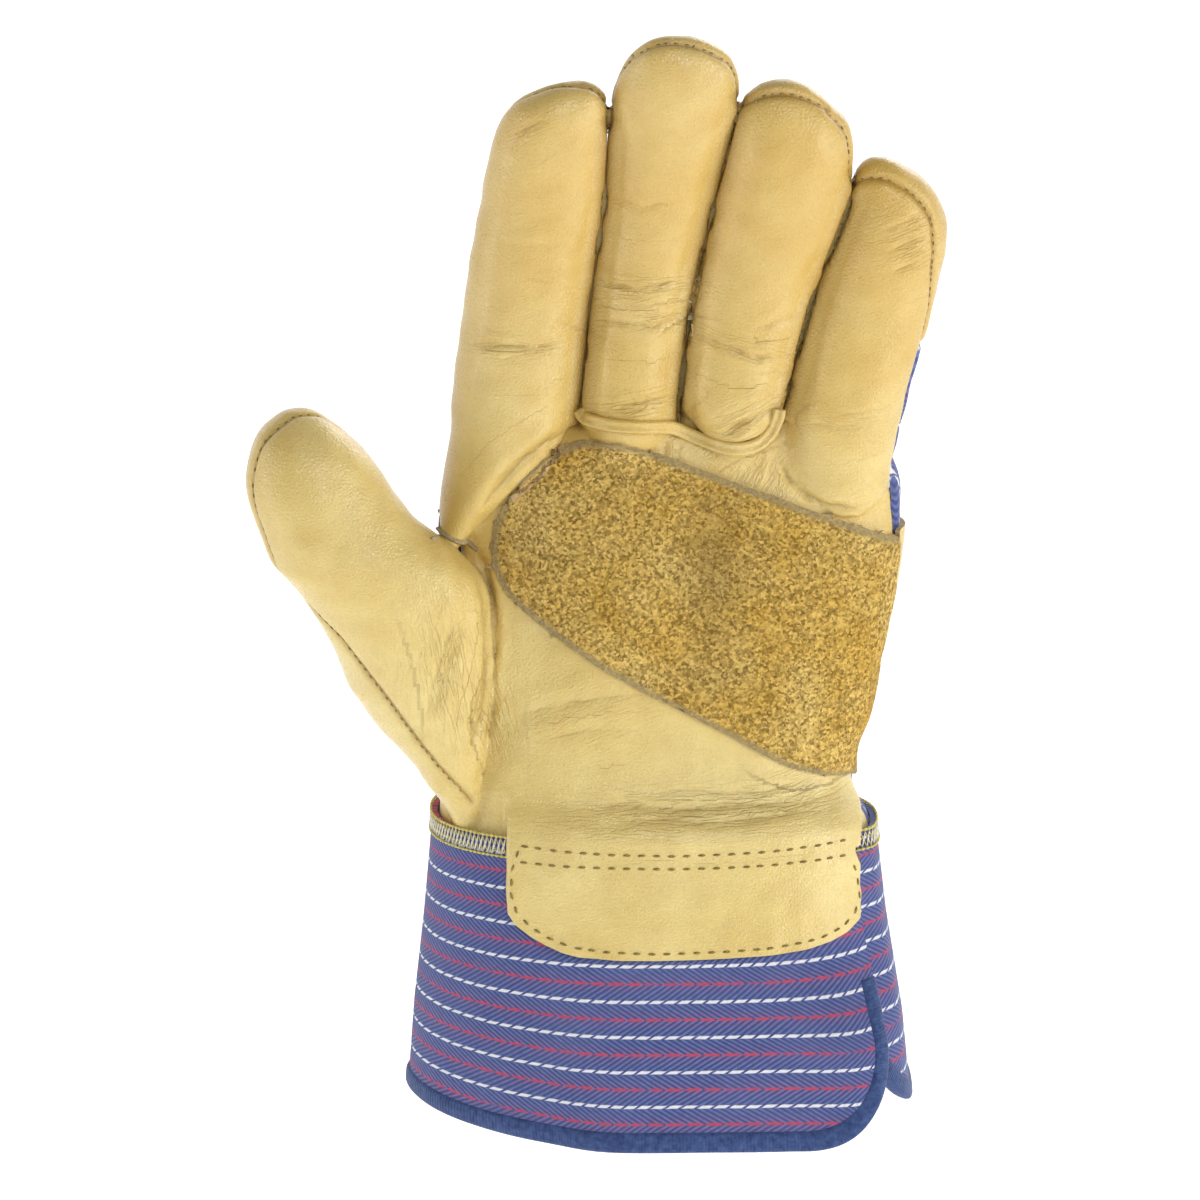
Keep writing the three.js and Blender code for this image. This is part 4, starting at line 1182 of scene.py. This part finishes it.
def cuffPoint(along, drop, out=0.0):
    angle = float(np.interp(along, lengthTable, turnTable))
    nearEnd = easeOne(along, cuffLength - 14, cuffLength - 5)
    tuck = 2.1 * nearEnd * (1 - 0.5 * easeOne(drop, 38, 62))
    wave = 0.55 * math.sin(along / 17.0 + 1.2) * easeOne(drop, 20, 70) + 0.3 * math.sin(along / 9.0) * easeOne(drop, 5, 60)
    frontness = 2 * easeOne(-math.sin(angle), -0.15, 0.95) - 1
    level = -drop * (1 + cuff["dip"] * frontness * (drop > 0))
    co = sectionPoint(level, angle, out - tuck + wave)
    co.y -= cuff["flare"] * easeOne(-along, -30, 0) * easeOne(drop, 26, 52)
    return co


def cuffHem(along):
    r = cuff["corner"]
    left = r - min(along, cuffLength - along, r)
    return cuff["height"] - r + math.sqrt(max(r * r - left * left, 0))


def bandEdge(x):
    return -cuff["bandTop"] + cuff["bandFall"] * x


def cuffTop(along):
    x, y, _ = cuffPoint(along, 0)
    underTab = easeOne(x, -33, -30) * (1 - easeOne(x, 43, 46)) * (1 if y < 0 else 0)
    return bandEdge(x) + underTab * (1.5 - bandEdge(x))


def makeCuff():
    bm = bmesh.new()
    bmesh.ops.create_grid(bm, x_segments=300, y_segments=60, size=1)
    layer = bm.loops.layers.uv.new("UVMap")
    flat = {}
    for v in bm.verts:
        along = (v.co.x + 1) / 2 * cuffLength
        drop = cuffTop(along) + (v.co.y + 1) / 2 * (cuffHem(along) - 1.0 - cuffTop(along))
        flat[v] = (along / clothUnit, (drop + 20) / clothUnit)
        v.co = cuffPoint(along, drop) * mm
    for f in bm.faces:
        for loop in f.loops:
            loop[layer].uv = flat[loop.vert]
    bm.normal_update()
    bm.faces.ensure_lookup_table()
    middle = bm.faces[len(bm.faces) // 2]
    if middle.normal.dot(middle.calc_center_median() - Vector((0, 0, middle.calc_center_median().z))) < 0:
        bmesh.ops.reverse_faces(bm, faces=bm.faces)
    obj = dressObject("cuff_canvas_look", bm, [cuffCloth], cuff["wall"])
    finishPiece(obj, "striped_canvas", "cuff_canvas")


def edgeAt(run):
    # along, drop and the way into the cloth, at a run along the bound edge
    side, turn = cuff["height"] - cuff["corner"] - cuff["slitTop"], math.pi / 2 * cuff["corner"]
    whole = 2 * (side + turn) + cuffLength - 2 * cuff["corner"]
    mirrored = run > whole / 2
    way = whole - run if mirrored else run
    along, drop, inAlong, inDrop = 0.0, cuff["slitTop"] + way, 1.0, 0.0
    if way > side + turn:
        along, drop, inAlong, inDrop = cuff["corner"] + way - side - turn, cuff["height"], 0.0, -1.0
    elif way > side:
        a = (way - side) / cuff["corner"]
        inAlong, inDrop = math.cos(a), -math.sin(a)
        along, drop = cuff["corner"] * (1 - inAlong), cuff["height"] - cuff["corner"] - cuff["corner"] * inDrop
    if mirrored:
        along, inAlong = cuffLength - along, -inAlong
    return along, drop, inAlong, inDrop, whole


binding = {"width": 5.2, "thickness": 2.7, "stations": 420}


def makeBinding():
    bm = bmesh.new()
    layer = bm.loops.layers.uv.new("UVMap")
    whole = edgeAt(0)[4]
    rings = []
    ran = {}
    for k in range(binding["stations"] + 1):
        run = whole * k / binding["stations"]
        along, drop, inAlong, inDrop, _ = edgeAt(run)
        half = binding["width"] / 2
        ends = k in (0, binding["stations"])
        ring = bmesh.ops.create_circle(bm, cap_ends=ends, segments=16, radius=1)["verts"]
        for v in ring:
            c, s = v.co.x, v.co.y
            reach = half - 0.6 + half * math.copysign(abs(c) ** 0.55, c)
            out = -cuff["wall"] / 2 + binding["thickness"] / 2 * math.copysign(abs(s) ** 0.7, s)
            out += 0.12 * math.sin(run / 3.1) * abs(s)
            v.co = cuffPoint(along + inAlong * reach, drop + inDrop * reach, out) * mm
            ran[v] = run
        rings.append(list(dict.fromkeys(e for v in ring for e in v.link_edges)))
    bridgeRings(bm, rings)
    for f in bm.faces:
        for loop in f.loops:
            loop[layer].uv = (ran[loop.vert] / clothUnit, 0.5)
    obj = dressObject("cuff_binding_look", bm, [tape])
    finishPiece(obj, "navy_tape", "cuff_binding")


makeCuff()
makeBinding()
print("cuff ready, run round", round(cuffLength, 1))


# stitches and threads

def onFront(x, z):
    hit = surface.ray_cast(Vector((x, -200, z)) * mm, Vector((0, 1, 0)))
    return (hit[0], hit[1]) if hit[0] is not None else (None, None)


def frontPath(line, step=0.4):
    # the places and normals where a line drawn on the front falls on the glove
    spots = [onFront(x, z) for x, z in densePath(line, step)]
    return [s for s in spots if s[0] is not None]


tabRows = {
    "upper": [(-33, 0.9), (-22.8, 0.2), (-8.4, -0.4), (6, -0.5), (20.5, -0.2), (35, 0.1), (46.4, 0.4)],
    "lower": [(-33.2, -3), (-22.8, -3.3), (-8.4, -3.6), (6, -3.7), (20.5, -3.5), (35, -3.3), (46.8, -3.2)],
    "round": [(-32.6, 0.4), (-34.4, -5), (-34.7, -11), (-33.4, -15.2), (-30.2, -18.6), (-25.3, -21.2), (-20, -23),
              (-12, -24), (1.3, -24.4), (15.7, -24), (30.3, -23.5), (40, -22.6), (45.8, -20.6), (48.8, -17.8),
              (49.8, -14), (49.2, -8.5), (47.6, -4.4)],
}


def makeTabStitches():
    bm = bmesh.new()
    for line in tabRows.values():
        stitchRow(bm, frontPath(line), *stitchSizes["tab"])
    obj = dressObject("tab_stitches", bm, [oliveThread])
    finishPiece(obj, "grain_leather")


def makeSeamStitches():
    bm = bmesh.new()
    for run in seamPaths:
        stitchRow(bm, run, *stitchSizes["seam"])
    obj = dressObject("seam_stitches", bm, [oliveThread])
    finishPiece(obj, "grain_leather")


crotchSeam = [(-53.2, 75.4), (-50.4, 74.6), (-46.3, 72.6), (-42.6, 70)]


def makeCrotch():
    # the raw edges of the seam between thumb and index finger stand up here
    bm = bmesh.new()
    spots = frontPath(crotchSeam, 0.3)
    stitchRow(bm, spots, *stitchSizes["crotchFoot"])
    stitchRow(bm, spots, *stitchSizes["crotchFibre"])
    obj = dressObject("crotch_seam_edge", bm, [edgeFibre])
    finishPiece(obj, "grain_leather")


overlock = {"pitch": 1.55, "slant": 1.9, "white": 0.62, "yellow": 0.36}


def makeOverlock():
    white, yellow = bmesh.new(), bmesh.new()
    along, slant = 0.5, overlock["slant"]
    while along < cuffLength - cuff["overlap"]:
        spot = cuffPoint(along, 0)
        hidden = spot.y < 0 and -35.5 < spot.x < 47
        if not hidden:
            top, low = bandEdge(spot.x) - 0.2, bandEdge(spot.x) + cuff["bandHeight"]
            a, b = cuffPoint(along, top, 0.35) * mm, cuffPoint(along + slant, low, 0.35) * mm
            up = (cuffPoint(along, 0, 1) - cuffPoint(along, 0, 0)).normalized()
            addBead(white, (a + b) / 2, b - a, up, (b - a).length, overlock["white"] * mm, 0.5 * mm)
            c, d = cuffPoint(along + slant, top, 0.3) * mm, cuffPoint(along, low, 0.3) * mm
            addBead(yellow, (c + d) / 2, d - c, up, (d - c).length, overlock["yellow"] * mm, 0.4 * mm)
            for drop, size in ((low, 0.75), (top, 0.9)):
                e, f = cuffPoint(along - 0.85, drop, 0.35) * mm, cuffPoint(along + 0.85, drop, 0.35) * mm
                addBead(yellow, (e + f) / 2, f - e, up, (f - e).length * 1.12, size * mm, 0.7 * mm)
        along += overlock["pitch"]
    finishPiece(dressObject("overlock_white", white, [whiteThread]), "striped_canvas")
    finishPiece(dressObject("overlock_yellow", yellow, [yellowThread]), "striped_canvas")


makeTabStitches()
makeSeamStitches()
makeCrotch()
makeOverlock()
print("stitches ready")


# the welt under the middle and ring fingers

welt = {
    "profile": [(-1.6, -0.8), (-1.6, 0.35), (-1.2, 0.95), (-0.75, 1.0), (-0.3, 0.7), (0.15, 0.72), (0.6, 1.15), (1.1, 1.2),
                (1.5, 0.7), (1.6, -0.8)],
    "line": [(-18.2, 104.8), (-17.2, 103.2), (-14.6, 102.5), (-10.8, 102.3), (-3.7, 101.9), (3.4, 100.8), (8.6, 98.4),
             (13.5, 96.9), (19.4, 96.3), (24.6, 97.2), (27.7, 99.8), (29.2, 103.4), (29.6, 105.6)],
}


def makeWelt():
    fine = fairRows(welt["line"], 8)
    spots = []
    for x, z in fine:
        place, normal = onFront(float(x), float(z))
        if place is not None:
            spots.append(Vector((x, min(place.y / mm, -8.5), z)))
    ys = np.convolve(np.pad([s.y for s in spots], 4, mode="edge"), np.ones(9) / 9, mode="valid")
    for s, y in zip(spots, ys):
        s.y = float(y) - 0.9
    bm = bmesh.new()
    rings = []
    for k, s in enumerate(spots):
        ahead = (spots[min(k + 1, len(spots) - 1)] - spots[max(k - 1, 0)]).normalized()
        outward = Vector((0, -1, 0))
        across = ahead.cross(outward).normalized()
        ends = k in (0, len(spots) - 1)
        ring = bmesh.ops.create_circle(bm, cap_ends=ends, segments=len(welt["profile"]), radius=1)["verts"]
        for v, (c, t) in zip(ring, welt["profile"]):
            v.co = (s + across * c + outward * t) * mm
        rings.append(list(dict.fromkeys(e for v in ring for e in v.link_edges)))
    bridgeRings(bm, rings)
    obj = dressObject("finger_base_welt_look", bm, [grain])
    finishPiece(obj, "grain_leather", "finger_base_welt")


makeWelt()
bpy.data.meshes.remove(handMesh)


# the pale studio around it

# in metres
sweep = {"half": 8.0, "floor": -0.34, "wall": 1.2, "rise": 3.0, "bend": 0.5, "glow": 0.54}


def makeStage():
    bm = bmesh.new()
    bmesh.ops.create_grid(bm, x_segments=1, y_segments=1, size=sweep["half"])
    for v in bm.verts:
        v.co.z = sweep["floor"]
    back = [e for e in bm.edges if all(v.co.y > sweep["half"] - 0.1 for v in e.verts)]
    for v in {v for e in back for v in e.verts}:
        v.co.y = sweep["wall"]
    up = bmesh.ops.extrude_edge_only(bm, edges=back)["geom"]
    for v in up:
        if isinstance(v, bmesh.types.BMVert):
            v.co.z += sweep["rise"]
    foot = [e for e in bm.edges if all(abs(v.co.y - sweep["wall"]) < 1e-4 and v.co.z < -0.3 for v in e.verts)]
    bmesh.ops.bevel(bm, geom=foot, offset=sweep["bend"], offset_type="OFFSET", segments=12, profile=0.5,
                    affect="EDGES", material=-1)
    bmesh.ops.recalc_face_normals(bm, faces=bm.faces)
    paper, tree, shader, place = startMaterial("paperSweep", {
        "Roughness": 0.95, "Specular IOR Level": 0.1, "Emission Color": (1, 1, 1, 1), "Emission Strength": sweep["glow"]})
    tone = blendColour(noiseOn(place, 900, 2), "#FBFBFB", "#FFFFFF")
    tree.links.new(tone, shader.inputs["Base Color"])
    obj = dressObject("studio_sweep", bm, [paper])


makeStage()
print("stage ready")
